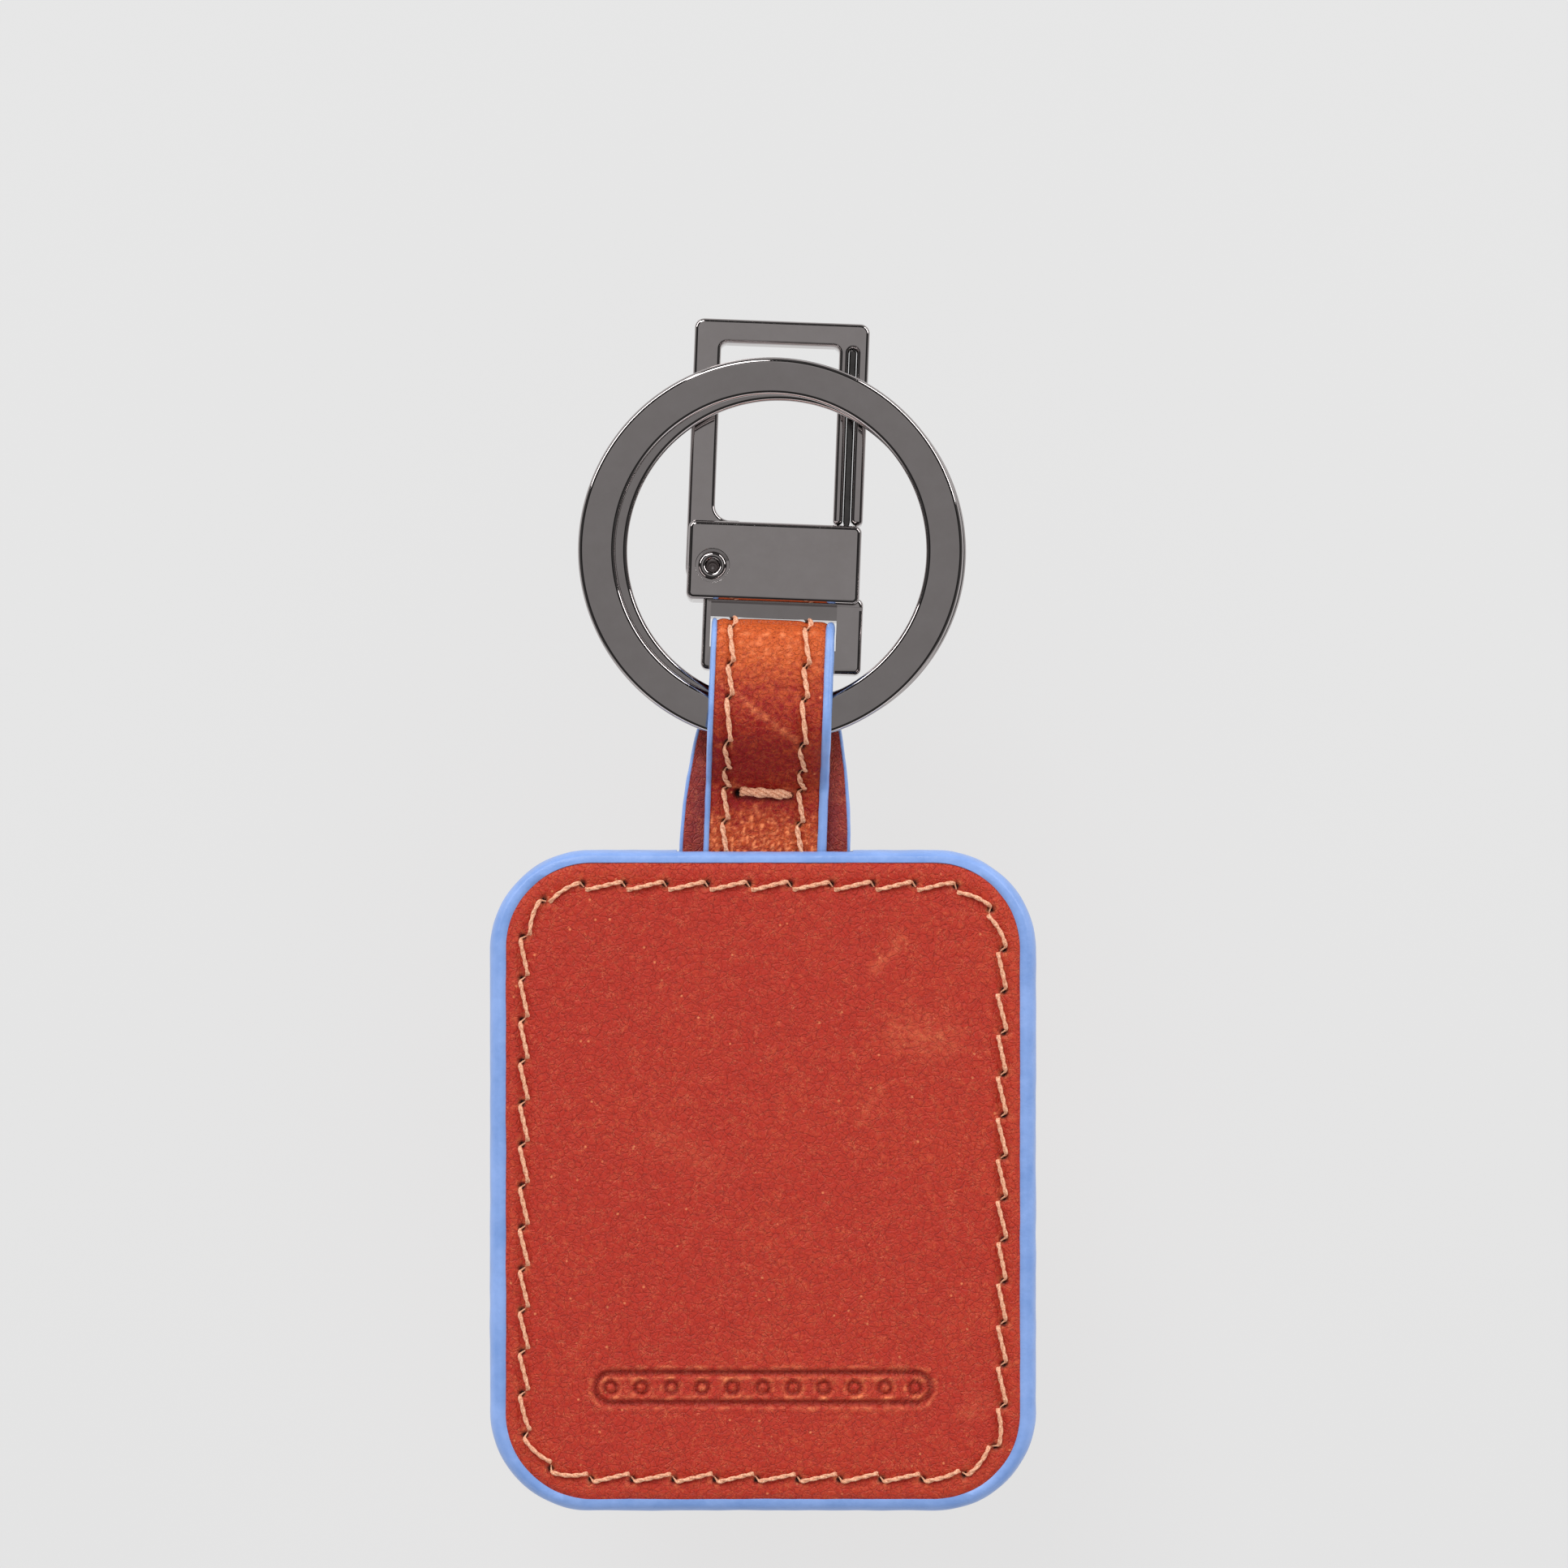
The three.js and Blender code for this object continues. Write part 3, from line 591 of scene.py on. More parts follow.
# One leather face of the tag: pillowed edge, sunken seam with needle holes, and on the front the plain stamp.
def tagFace(name, front):
    bm = roundedGrid(leatherBox, tag["cell"] if front else tag["backCell"])
    warm = bm.verts.layers.float.new("warm")
    scuffAndHighlight = bm.verts.layers.float.new("scuffAndHighlight")
    paintedShade = bm.verts.layers.float.new("hole")
    surface = tag["thickness"] if front else 0.0
    outward = 1 if front else -1
    for v in bm.verts:
        x, y = v.co.x, v.co.y
        inside = -boxDistance(leatherBox, x, y)
        wave = noise.noise(Vector((x * 0.42, y * 0.42, 1.7 * outward)))
        ripple = noise.noise(Vector((x * 1.5, y * 1.5, 8.1)))
        fromSeam = abs(boxDistance(seamBox, x, y))
        sink = tag["edgeDip"] * bell(inside, tag["edgeDipWidth"]) + tag["surfaceDip"]
        sink += tag["seamDip"] * bell(fromSeam, tag["seamDipWidth"])
        sink += tag["holeDip"] * holeDepth(x, y)
        sink -= tag["dome"] * smooth(0.6, 3.5, inside)
        sink -= tag["sway"] * noise.noise(Vector((x * 0.16, y * 0.16, 4)))
        if front:
            fromStamp = boxDistance(stampBox, x, y)
            sink += tag["stampDepth"] * (1 - smooth(0.1, 0.34, abs(fromStamp)))
            sink -= tag["stampRise"] * bell(abs(fromStamp) - 0.52, tag["stampRiseWidth"])
            dimple = dimplePitch * min(max(round(x / dimplePitch), -stampEnd), stampEnd)
            fromDimple = math.hypot(x - dimple, y - stampY) - tag["dimpleRadius"]
            sink += tag["stampDepth"] * (1 - smooth(0.1, 0.3, abs(fromDimple)))
        else:
            sink += tag["backGroove"] * (1 - smooth(0.28, 0.5, fromSeam))
        trim = smooth(1.1, 0.1, inside) if inside < 1.1 else 0
        push = (tag["edgeWave"] * (wave + 0.35 * ripple) * 1.6 + 0.05) * trim
        fromMiddle = Vector((x, y + tag["height"] / 2))
        away = fromMiddle.normalized()
        v[warm] = 0.5 * bell(inside, 1.4) + 0.45 * smooth(24, 34, fromMiddle.length)
        fray = noise.noise(Vector((x * 2.6, y * 2.6, 1))) + 0.25
        frayAndHighlight = holeDepth(x, y, 0.5) * max(0, fray) * 1.3 if fromSeam < 1.2 else 0
        # Painted shade in the needle holes.
        v[paintedShade] = min(1, 2.2 * holeDepth(x, y, 0.24)) if fromSeam < 0.9 else 0
        if front:
            # Painted shade along the stamp's pressed lines and dimples, and painted highlight on their raised
            # rims.
            stampGrooveShade = bell(abs(fromStamp) - 0.1, 0.14) + bell(abs(fromDimple), 0.13)
            v[paintedShade] = max(v[paintedShade], 0.4 * min(1, stampGrooveShade))
            edges = bell(abs(fromStamp) - 0.45, 0.14) + bell(abs(fromDimple) - 0.35, 0.12)
            frayAndHighlight = max(frayAndHighlight, 0.75 * edges * max(0, noise.noise(Vector((x * 1.1, y * 1.6, 7))) + 0.3))
        # Along the cut edge: a painted dark line where the noise is low and a painted highlight where it is
        # high.
        edgeShadeAndHighlight = noise.noise(Vector((x * 0.3, y * 0.3, 12))) * bell(inside, 0.15)
        v[paintedShade] = max(v[paintedShade], min(0.8, max(0, -2.6 * edgeShadeAndHighlight)))
        frayAndHighlight += max(0, 2.2 * edgeShadeAndHighlight)
        # Pale fray round the needle holes and real rubbed marks, with the painted highlights above.
        v[scuffAndHighlight] = min(1, frayAndHighlight + (strokeStrength(scratches, x, y) if front else 0))
        v.co.x += away.x * push
        v.co.y += away.y * push
        v.co.z = surface - outward * max(sink, 0)
    rim = [e for e in bm.edges if e.is_boundary]
    walls = bmesh.ops.extrude_edge_only(bm, edges=rim)
    lower = [g for g in walls["geom"] if isinstance(g, bmesh.types.BMVert)]
    for v in lower:
        v.co.z = surface - outward * tag["leather"]
    bmesh.ops.contextual_create(bm, geom=[e for e in bm.edges if e.is_boundary])
    bmesh.ops.recalc_face_normals(bm, faces=bm.faces)
    node = "front_leather" if front else "back_leather"
    piece = finishPiece(name, meshOf(bm, name), tagPlace, tagLeather, [node], 60)
    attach(piece, "tag")


# The painted edge: loops round the tag at each point of a rounded section, bridged into one closed band.
def tagRim():
    setback, thick = tag["rimSetback"], tag["thickness"]
    section = []  # (inset from the outline as a share of the rim, height)
    steps = 14
    for i in range(steps + 1):
        angle = math.pi * (i / steps - 0.5)
        bulge = abs(math.cos(angle)) ** 0.62
        height = thick / 2 + (thick / 2 - setback) * math.copysign(abs(math.sin(angle)) ** 0.8, math.sin(angle))
        section.append((1 - bulge, height))
    section = [
        (1.35, 0.5),
        (1.18, setback + 0.05),
        *section[1:-1],
        (1.18, thick - setback - 0.05),
        (1.35, thick - 0.5),
    ]
    outline = (-tag["width"] / 2, tag["width"] / 2, -tag["height"], 0, tag["corner"])
    count = 420  # points round each loop
    bm = bmesh.new()
    loops = []
    for inset, height in section:
        box = (
            outline[0] + inset * tag["rimSide"],
            outline[1] - inset * tag["rimSide"],
            outline[2] + inset * tag["rimBottom"],
            outline[3] - inset * tag["rimTop"],
            tag["corner"] - inset * (tag["rimSide"] + tag["rimTop"]) / 2,
        )
        ring = []
        for i in range(count):
            point, out = outlineAt(box, outlineLength(box) * i / count)
            uneven = noise.noise(Vector((point.x * 0.5, point.y * 0.5, height * 0.7)))
            point = point - out * 0.05 * (1 + uneven) * (1 if inset < 1 else 0)
            ring.append(bm.verts.new((point.x, point.y, height)))
        loops.append([bm.edges.new((ring[i], ring[(i + 1) % count])) for i in range(count)])
    for lower, upper in zip(loops, loops[1:] + loops[:1]):
        bmesh.ops.bridge_loops(bm, edges=lower + upper)
    bmesh.ops.recalc_face_normals(bm, faces=bm.faces)
    mesh = meshOf(bm, "tagPaintedEdge")
    piece = finishPiece("tagPaintedEdge", mesh, tagPlace, edgePaint, ["edge_coat"], 60)
    slot = strap["flareWidth"] / 2 + 0.2
    room = strap["thickness"] + 0.2
    cutter = blockObject(
        (strap["x"] - slot, strap["x"] + slot),
        (-4, 2),
        (strapMiddle - room, strapMiddle + room),
        tagPlace,
    )
    carve(piece, [cutter])
    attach(piece, "tag")


def cutterFrom(bm, place):
    mesh = meshOf(bm, "cutter")
    mesh.transform(place)
    cutter = bpy.data.objects.new("cutter", mesh)
    bpy.context.scene.collection.objects.link(cutter)
    return cutter


def blockObject(xs, ys, zs, place):
    bm = bmesh.new()
    bmesh.ops.create_cube(bm, size=1)
    size = Vector((xs[1] - xs[0], ys[1] - ys[0], zs[1] - zs[0]))
    middle = Vector((sum(xs) / 2, sum(ys) / 2, sum(zs) / 2))
    bmesh.ops.scale(bm, vec=size, verts=bm.verts)
    bmesh.ops.translate(bm, vec=middle, verts=bm.verts)
    return cutterFrom(bm, place)


def drumObject(centre, radius, zs, place):
    bm = bmesh.new()
    bmesh.ops.create_cone(bm, cap_ends=True, segments=72, radius1=radius, radius2=radius, depth=zs[1] - zs[0])
    bmesh.ops.translate(bm, vec=(*centre, sum(zs) / 2), verts=bm.verts)
    return cutterFrom(bm, place)


# Cuts the cutters out of a piece and leaves plain mesh.
def carve(piece, cutters):
    for cutter in cutters:
        change = piece.modifiers.new("carve", "BOOLEAN")
        change.operation = "DIFFERENCE"
        change.solver = "EXACT"
        change.object = cutter
    settle(piece)
    for cutter in cutters:
        bpy.data.objects.remove(cutter)


# Applies the modifiers of a piece.
def settle(piece):
    bpy.context.view_layer.update()
    shaped = piece.evaluated_get(bpy.context.evaluated_depsgraph_get())
    mesh = bpy.data.meshes.new_from_object(shaped)
    piece.modifiers.clear()
    piece.data = mesh


def tagSeam(name, front):
    line = []
    surface = tag["thickness"] - 0.15 if front else 0.36
    up = Vector((0, 0, 1 if front else -1))
    for i in range(stitchCount * perStitch):
        stitch, step = divmod(i, perStitch)
        share = step / perStitch
        point, out = outlineAt(seamBox, (stitch + share) * stitchPitch)
        tilt = 1 + 0.25 * noise.noise(Vector((stitch * 1.7, 0.3, 5 if front else 9)))
        shift, lift = stitchPhase(share, tag["slant"] * tilt, 0.22, 0.24)
        side = Vector((out.x, out.y, 0))
        place = Vector((point.x, point.y, surface)) + side * shift + up * lift
        line.append((place, side, up))
    plies = twistedStrands(line, 2 / perStitch, tag["threadRadius"] * 0.4)
    mesh = strandMesh(name, plies, tag["threadRadius"] * 0.76, True, stitchSwell())
    node = "needle_thread" if front else "bobbin_thread"
    piece = finishPiece(name, mesh, tagPlace, waxedThread, [node], 80)
    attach(piece, "tag")


tagFace("tagFrontLeather", True)
tagFace("tagBackLeather", False)
tagRim()
tagSeam("tagFrontSeam", True)
tagSeam("tagBackSeam", False)
print("tag made with", stitchCount, "stitches a side")


# The strap's inner face from inside the tag, over the bar, and back: (y, z, angle of the outward normal).
def strapRoute():
    partY = strap["tack"] + strap["pinchLength"]
    eyeZ = strap["lift"] + strap["thickness"] + strap["ringEyeRadius"]
    barZ = strap["lift"] + strap["thickness"] + strap["barEyeRadius"]
    ringEye = Vector((strap["ringEye"], eyeZ))
    barEye = Vector((strap["barEye"], barZ))
    quarter = math.pi / 2
    route = []

    def arc(centre, radius, start, end, sign):
        steps = max(3, math.ceil(abs(end - start) / math.radians(3)))
        for i in range(steps + 1):
            angle = start + (end - start) * i / steps
            away = Vector((math.cos(angle), math.sin(angle))) * radius * sign
            route.append((centre.x + away.x, centre.y + away.y, angle))

    def pinch(z, side):
        away = Vector((ringEye.x - partY, ringEye.y - z))
        turn = math.atan2(away.y, away.x) + side * math.asin(strap["ringEyeRadius"] / away.length)
        start = partY - strap["pinchRadius"] * math.tan(abs(turn) / 2)
        return turn, Vector((start, z + side * strap["pinchRadius"]))

    frontZ, rearZ = strapMiddle + strap["gap"], strapMiddle - strap["gap"]
    frontTurn, frontCentre = pinch(frontZ, 1)
    rearTurn, rearCentre = pinch(rearZ, -1)
    between = barEye - ringEye
    tangent = math.atan2(between.y, between.x)
    taper = math.acos((strap["ringEyeRadius"] - strap["barEyeRadius"]) / between.length)
    route.append((-strap["insideTag"], frontZ, quarter))
    arc(frontCentre, strap["pinchRadius"], quarter, quarter + frontTurn, -1)
    arc(ringEye, strap["ringEyeRadius"], quarter + frontTurn, tangent + taper, 1)
    arc(barEye, strap["barEyeRadius"], tangent + taper, tangent - taper, 1)
    arc(ringEye, strap["ringEyeRadius"], tangent - taper, -quarter + rearTurn, 1)
    arc(rearCentre, strap["pinchRadius"], -quarter + rearTurn, -quarter, -1)
    route.append((-strap["insideTag"], rearZ, -quarter))
    return route


route = strapRoute()
reach = [0.0]
for before, after in zip(route, route[1:]):
    reach.append(reach[-1] + math.hypot(after[0] - before[0], after[1] - before[1]))
strapLength = reach[-1]


def routeAt(s):
    s = min(max(s, 0), strapLength)
    low, high = 0, len(reach) - 1
    while high - low > 1:
        middle = (low + high) // 2
        if reach[middle] <= s:
            low = middle
        else:
            high = middle
    t = (s - reach[low]) / max(reach[high] - reach[low], 1e-9)
    a, b = route[low], route[high]
    return tuple(p + (q - p) * t for p, q in zip(a, b))


halfEven, halfFlare = strap["width"] / 2, strap["flareWidth"] / 2
flareCurve = interpolate_bezier(
    Vector((halfFlare, 0)),
    Vector((halfFlare, 5)),
    Vector((halfFlare - 1.1, strap["flareEnd"] - 2.5)),
    Vector((halfEven, strap["flareEnd"])),
    40,
)


def halfWidth(s):
    y, _, angle = routeAt(s)
    if angle > 0 or y > strap["flareEnd"]:
        return halfEven
    for a, b in zip(flareCurve, flareCurve[1:]):
        if a.y <= y <= b.y:
            return a.x + (b.x - a.x) * (y - a.y) / (b.y - a.y)
    return halfFlare


def strapPoint(s, x, height):
    y, z, angle = routeAt(s)
    return Vector((strap["x"] + x, y + height * math.cos(angle), z + height * math.sin(angle)))


def strapRide(piece):
    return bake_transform(piece)


creases = (  # pale marks on the strap's front: from, to, width, strength
    ((-3.3, 12.9), (-1.2, 11.4), 0.14, 0.8),
    ((-1.2, 11.4), (2.4, 9.9), 0.17, 0.7),
    ((-3.4, 6.3), (-2.2, 5.5), 0.22, 0.6),
    ((-2.6, 5.2), (-1.6, 5.1), 0.18, 0.6),
    ((-4.4, 13.6), (-3.4, 12.8), 0.12, 0.6),
    ((1.6, 5.4), (2.6, 4.9), 0.2, 0.6),
    ((-0.75, 3.6), (-0.55, 3.1), 0.17, 1.0),
)


# The painted edge is broad along the front, more so on the right, and narrow along the rear.
def beadWidth(s, side):
    angle = routeAt(s)[2]
    front = strap["beadLeft"] if side < 0 else strap["beadRight"]
    return front + (strap["beadRear"] - front) * smooth(0.6, -0.6, angle)


# A leather layer of the strap between two heights above its inner face.
def strapLayer(name, low, high, material, node, outerFace):
    bm = bmesh.new()
    cell = strap["cell"] if outerFace else strap["liningCell"]
    steps = (round(strap["width"] / cell), round(strapLength / cell))
    bmesh.ops.create_grid(bm, x_segments=steps[0], y_segments=steps[1], size=1)
    warm = bm.verts.layers.float.new("warm")
    scuffAndHighlight = bm.verts.layers.float.new("scuffAndHighlight")
    paintedShade = bm.verts.layers.float.new("hole")
    for v in bm.verts:
        s = (v.co.y + 1) / 2 * strapLength
        inset = beadWidth(s, -1) + (beadWidth(s, 1) - beadWidth(s, -1)) * (v.co.x + 1) / 2
        half = halfWidth(s) - inset + 0.2
        x = v.co.x * half
        y, _, angle = routeAt(s)
        fromEdge = half - abs(x)
        height = high
        onFront = angle > math.radians(40)
        place = x + strap["x"]
        v[warm] = 0.5 * bell(fromEdge, 1.0)
        if outerFace:
            height -= strap["edgeDip"] * bell(fromEdge, strap["edgeDipWidth"])
            height += strap["dome"] * (1 - v.co.x * v.co.x)
            for seam in (strap["seamLeft"], strap["seamRight"]):
                height -= strap["seamDip"] * bell(place - seam, strap["seamDipWidth"])
                share = ((s - seamStart) / seamPitch) % 1
                toHole = math.hypot(place - seam + 0.06, (share - 0.92) * seamPitch)
                height -= strap["holeDip"] * bell(toHole, strap["holeDipWidth"])
                # Painted shade in the needle holes.
                v[paintedShade] = max(v[paintedShade], min(1, 2.0 * bell(toHole, 0.23)))
                fray = noise.noise(Vector((place * 2.6, s * 2.6, 1))) + 0.2
                v[scuffAndHighlight] = max(v[scuffAndHighlight], bell(toHole, 0.5) * max(0, fray) * 1.2)
            if onFront and y < 8:
                nearTack = max(strap["tackLeft"] - place, place - strap["tackRight"], 0)
                fromTack = math.hypot(nearTack, y - strap["tack"])
                height -= strap["tackDip"] * bell(fromTack, strap["tackDipWidth"])
                # Painted shadow just below the bar tack, and painted shade in its two needle holes.
                shade = 0.55 * bell(math.hypot(nearTack, y - strap["tack"] + 0.42), 0.28)
                toHole = math.hypot(place - strap["tackLeft"] + 0.22, y - strap["tack"] + 0.1)
                height -= 0.6 * bell(toHole, 0.4)
                shade = max(shade, min(1, 2.4 * bell(toHole, 0.34)))
                toHole = math.hypot(place - strap["tackRight"], y - strap["tack"] + 0.1)
                shade = max(shade, min(1, 1.4 * bell(toHole, 0.24)))
                v[paintedShade] = max(v[paintedShade], shade)
                height += 0.05 * noise.noise(Vector((place * 1.3, y * 1.3, 2)))
            # Warmer, lighter leather: painted highlight over the fold and at the root beside the tag, and a
            # little along the edges.
            fold = bell(s - strapLength * 0.485, 3.3)
            root = smooth(4.2, 0.8, y) if onFront else 0
            v[warm] = min(1, 0.95 * fold + 0.55 * root + 0.12 * bell(fromEdge, 0.8))
            # Painted shade in the gap between the leather and its painted edge.
            v[paintedShade] = max(v[paintedShade], 0.4 * bell(fromEdge, 0.14))
            if onFront:
                # Painted highlight: sparkles near the root and sheen streaks over the fold, added to the pale
                # creases.
                sparkleHighlight = max(0, noise.noise(Vector((place * 3.3, y * 3.3, 6))) - 0.05) * 3.4
                foldSheenStreaks = max(0, noise.noise(Vector((place * 1.6, y * 5.0, 9))) - 0.05) * 1.9
                marks = strokeStrength(creases, place, y) + sparkleHighlight * root + foldSheenStreaks * fold * 0.7
                v[scuffAndHighlight] = min(1, max(v[scuffAndHighlight], marks))
        v.co = strapPoint(s, x, height)
    bmesh.ops.recalc_face_normals(bm, faces=bm.faces)
    sample = max(bm.verts, key=lambda v: v.co.z)
    if sample.normal.z < 0:
        bmesh.ops.reverse_faces(bm, faces=bm.faces)
    bmesh.ops.solidify(bm, geom=bm.faces[:], thickness=high - low)
    bmesh.ops.recalc_face_normals(bm, faces=bm.faces)
    piece = finishPiece(name, meshOf(bm, name), strapPlace, material, [node], 60)
    strapRide(piece)


# The painted edge of the strap, a soft bead that runs the whole way round.
def strapEdge(name, side, node):
    bm = bmesh.new()
    around, steps = 16, round(strapLength / 0.3)
    bmesh.ops.create_grid(bm, x_segments=around, y_segments=steps, size=1)
    halfHigh = strap["thickness"] / 2 + 0.03
    for v in bm.verts:
        s = (v.co.y + 1) / 2 * strapLength
        halfAcross = beadWidth(s, side) / 2
        angle = (v.co.x + 1) * math.pi
        uneven = 0.035 * noise.noise(Vector((s * 0.6, math.cos(angle), side * 3.1)))
        edge = halfWidth(s) - 0.02 + uneven
        x = edge - halfAcross + halfAcross * math.copysign(abs(math.cos(angle)) ** 0.8, math.cos(angle))
        height = strap["thickness"] / 2 + halfHigh * math.copysign(abs(math.sin(angle)) ** 0.75, math.sin(angle))
        v.co = strapPoint(s, side * x, height)
    bmesh.ops.remove_doubles(bm, verts=bm.verts, dist=0.001)
    bmesh.ops.holes_fill(bm, edges=[e for e in bm.edges if e.is_boundary], sides=0)
    bmesh.ops.recalc_face_normals(bm, faces=bm.faces)
    piece = finishPiece(name, meshOf(bm, name), strapPlace, edgePaint, [node], 60)
    strapRide(piece)


# Stitches along the strap's outer face, from the tag over the fold to the tag again.
def strapSeam(name, x, node):
    line = []
    for i in range(seamCount * perStitch + 1):
        stitch, step = divmod(i, perStitch)
        share = step / perStitch
        s = seamStart + (stitch + share) * seamPitch
        angle = routeAt(s)[2]
        uneven = 1 + 0.3 * noise.noise(Vector((stitch * 1.3, x, 2)))
        shift, lift = stitchPhase(share, -strap["slant"] * uneven, 0.2, 0.26)
        base = strapPoint(s, 0, strap["thickness"] - 0.12)
        base.x = x + shift
        up = Vector((0, math.cos(angle), math.sin(angle)))
        line.append((base + up * lift, Vector((1, 0, 0)), up))
    plies = twistedStrands(line, 1.5 / perStitch, strap["threadRadius"] * 0.45)
    mesh = strandMesh(name, plies, strap["threadRadius"] * 0.74, False, stitchSwell())
    piece = finishPiece(name, mesh, strapPlace, waxedThread, [node], 80)
    strapRide(piece)


# A thick two-ply bar of thread pulled across the strap, diving into a needle hole at each end.
def barTack():
    left, right, y = strap["tackLeft"], strap["tackRight"], strap["tack"]
    surface = strapMiddle + strap["gap"] + strap["thickness"]
    line = []
    for i in range(41):
        share = i / 40
        rise = math.sin(math.pi * share) ** 0.3 if 0 < share < 1 else 0
        place = Vector((left + (right - left) * share, y + 0.16 * (0.5 - share), surface - 0.55 + 0.55 * rise))
        line.append((place, Vector((0, 1, 0)), Vector((0, 0, 1))))
    plies = twistedStrands(line, 1.3 / 40, 0.27) + twistedStrands(line, 1.3 / 40, 0.17, math.pi / 2)
    mesh = strandMesh("strapBarTack", plies, 0.19, False)
    piece = finishPiece("strapBarTack", mesh, strapPlace, waxedThread, ["bar_tack"], 80)
    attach(piece, "strap")


seamStart = strap["insideTag"] - strap["seamTuck"]
seamSpan = strapLength - 2 * seamStart
seamCount = round(seamSpan / strap["pitch"])
seamPitch = seamSpan / seamCount
leatherLow = strap["lining"] + strap["glueLine"]
leatherHigh = strap["thickness"]
strapLayer("strapLeather", leatherLow, leatherHigh, strapLeather, "strap_leather", True)
strapLayer("strapLining", 0, strap["lining"], liningLeather, "strap_lining", False)
strapEdge("strapEdgeLeft", -1, "strap_edge_left")
strapEdge("strapEdgeRight", 1, "strap_edge_right")
strapSeam("strapSeamLeft", strap["seamLeft"], "strap_thread_left")
strapSeam("strapSeamRight", strap["seamRight"], "strap_thread_right")
barTack()
print("strap made,", round(strapLength, 1), "mm of route")

splitRing = {
    "outer": 16.0,
    "band": 3.1,
    "wire": 1.05,
    "turnGap": 0.1,
    "bevel": 0.42,
    "x": -0.3,
    "overhang": 2.25,
    "tilt": 3.6,
    "stepAngle": 18,
    "rearShift": (0.6, -0.12),
    "steps": 170,
    "dropSteps": 18,
}


# A flat wire wound twice: a full turn in front, a step hidden by the strap, and a full turn behind.
def makeRing():
    outer, wire = splitRing["outer"], splitRing["wire"]
    inner = outer - splitRing["band"]
    half = splitRing["stepAngle"]
    low = splitRing["turnGap"] / 2
    bm = bmesh.new()
    corners = [(inner, low), (outer, low), (outer, low + wire), (inner, low + wire)]
    face = bm.faces.new([bm.verts.new((x, 0, z)) for x, z in corners])
    bmesh.ops.bevel(
        bm,
        geom=face.verts[:],
        offset=splitRing["bevel"],
        segments=6,
        profile=0.5,
        affect="VERTICES",
        material=-1,
    )
    start = Matrix.Rotation(math.radians(-90 + half + 2), 3, "Z")
    bmesh.ops.rotate(bm, verts=bm.verts, cent=(0, 0, 0), matrix=start)
    shift = Vector(splitRing["rearShift"])
    drop = -(wire + splitRing["turnGap"])
    ends = bm.faces[:] + bm.edges[:] + bm.verts[:]
    full = math.radians(360 - 2 * half - 2)
    stretches = (
        ((0, 0, 0), (0, 0, 0), full, splitRing["steps"]),
        ((0, 0, 0), (shift.x, shift.y, drop), math.radians(2 * half), splitRing["dropSteps"]),
        ((shift.x, shift.y, 0), (0, 0, 0), full, splitRing["steps"]),
    )
    for cent, travel, angle, steps in stretches:
        made = bmesh.ops.spin(
            bm,
            geom=ends,
            cent=cent,
            axis=(0, 0, 1),
            dvec=Vector(travel) / steps,
            angle=angle,
            steps=steps,
            use_merge=False,
            use_duplicate=False,
        )
        ends = made["geom_last"]
    bmesh.ops.remove_doubles(bm, verts=bm.verts, dist=0.0005)
    bmesh.ops.recalc_face_normals(bm, faces=bm.faces)
    bmesh.ops.translate(bm, vec=(splitRing["x"], outer - splitRing["overhang"], 0), verts=bm.verts)
    place = axesAt(ringJoint["pos_m"], ringJoint["axis"], (0, 0, 1))
    place = place @ Matrix.Rotation(math.radians(splitRing["tilt"]), 4, "X")
    mesh = meshOf(bm, "flatSplitRing")
    piece = finishPiece("flatSplitRing", mesh, place, gunmetal, ["split_ring"], 50)
    evenNormals(piece)
    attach(piece, "ring")


# Keeps flat faces flat beside their rounded edges.
def evenNormals(piece):
    even = piece.modifiers.new("evenNormals", "WEIGHTED_NORMAL")
    even.keep_sharp = True
    even.weight = 60


makeRing()
print("ring made")

clip = {
    "boxWidth": 14.4,
    "boxStart": 4.8,
    "boxTop": 11.4,
    "boxHalf": 2.1,
    "boxCorner": 0.6,
    "loopHalf": 1.2,
    "barHalf": 0.95,
    "barThin": 1.0,
    "loopLeft": -5.77,
    "windowLeft": -5.09,
    "windowRight": 5.39,
    "webTilt": 5.2,
    "loopEdge": 0.36,
    "loopRight": 7.55,
    "webStart": 3.46,
    "edge": 0.42,
    "pivot": (-5.1, 7.65),
    "lugRadius": 2.25,
    "hookHalf": 1.2,
    "counterbore": 1.42,
    "counterboreDepth": 0.35,
    "hole": 1.01,
    "slotGap": 0.15,
    "socketHalf": 0.8,
    "socketHigh": 1.0,
    "socketDepth": 1.55,
    "loopOverlap": 0.6,  # how far the strap loop reaches into the box
    "loopCorner": 0.55,
    "grooveNear": 0.12,
    "grooveFar": 0.42,
    "grooveDepth": 0.2,
}

hook = {
    "left": -7.35,
    "right": 7.25,
    "top": 28.4,
    "topBar": 2.0,
    "leftLeg": 2.25,
    "innerStrip": 0.8,
    "slot": 0.68,
    "outerStrip": 1.0,
    "corner": 0.8,
    "windowCorner": 0.5,
    "fillet": 1.25,
    "slotTop": 26.3,
    "foot": 11.55,
    "bladeReach": 1.25,
    "bladeHalf": 0.8,
    "bladeGap": 0.05,
    "bladeEdge": 0.12,
    "edge": 0.35,
}

rivet = {
    "bore": 0.54,
    "shank": 0.95,
    "head": 1.18,
    "sink": 0.06,
    "floor": -1.2,  # where the bore's cone ends
}


def arcPoints(cx, cy, radius, start, end, steps=10):
    for i in range(steps + 1):
        angle = math.radians(start + (end - start) * i / steps)
        yield (cx + radius * math.cos(angle), cy + radius * math.sin(angle))


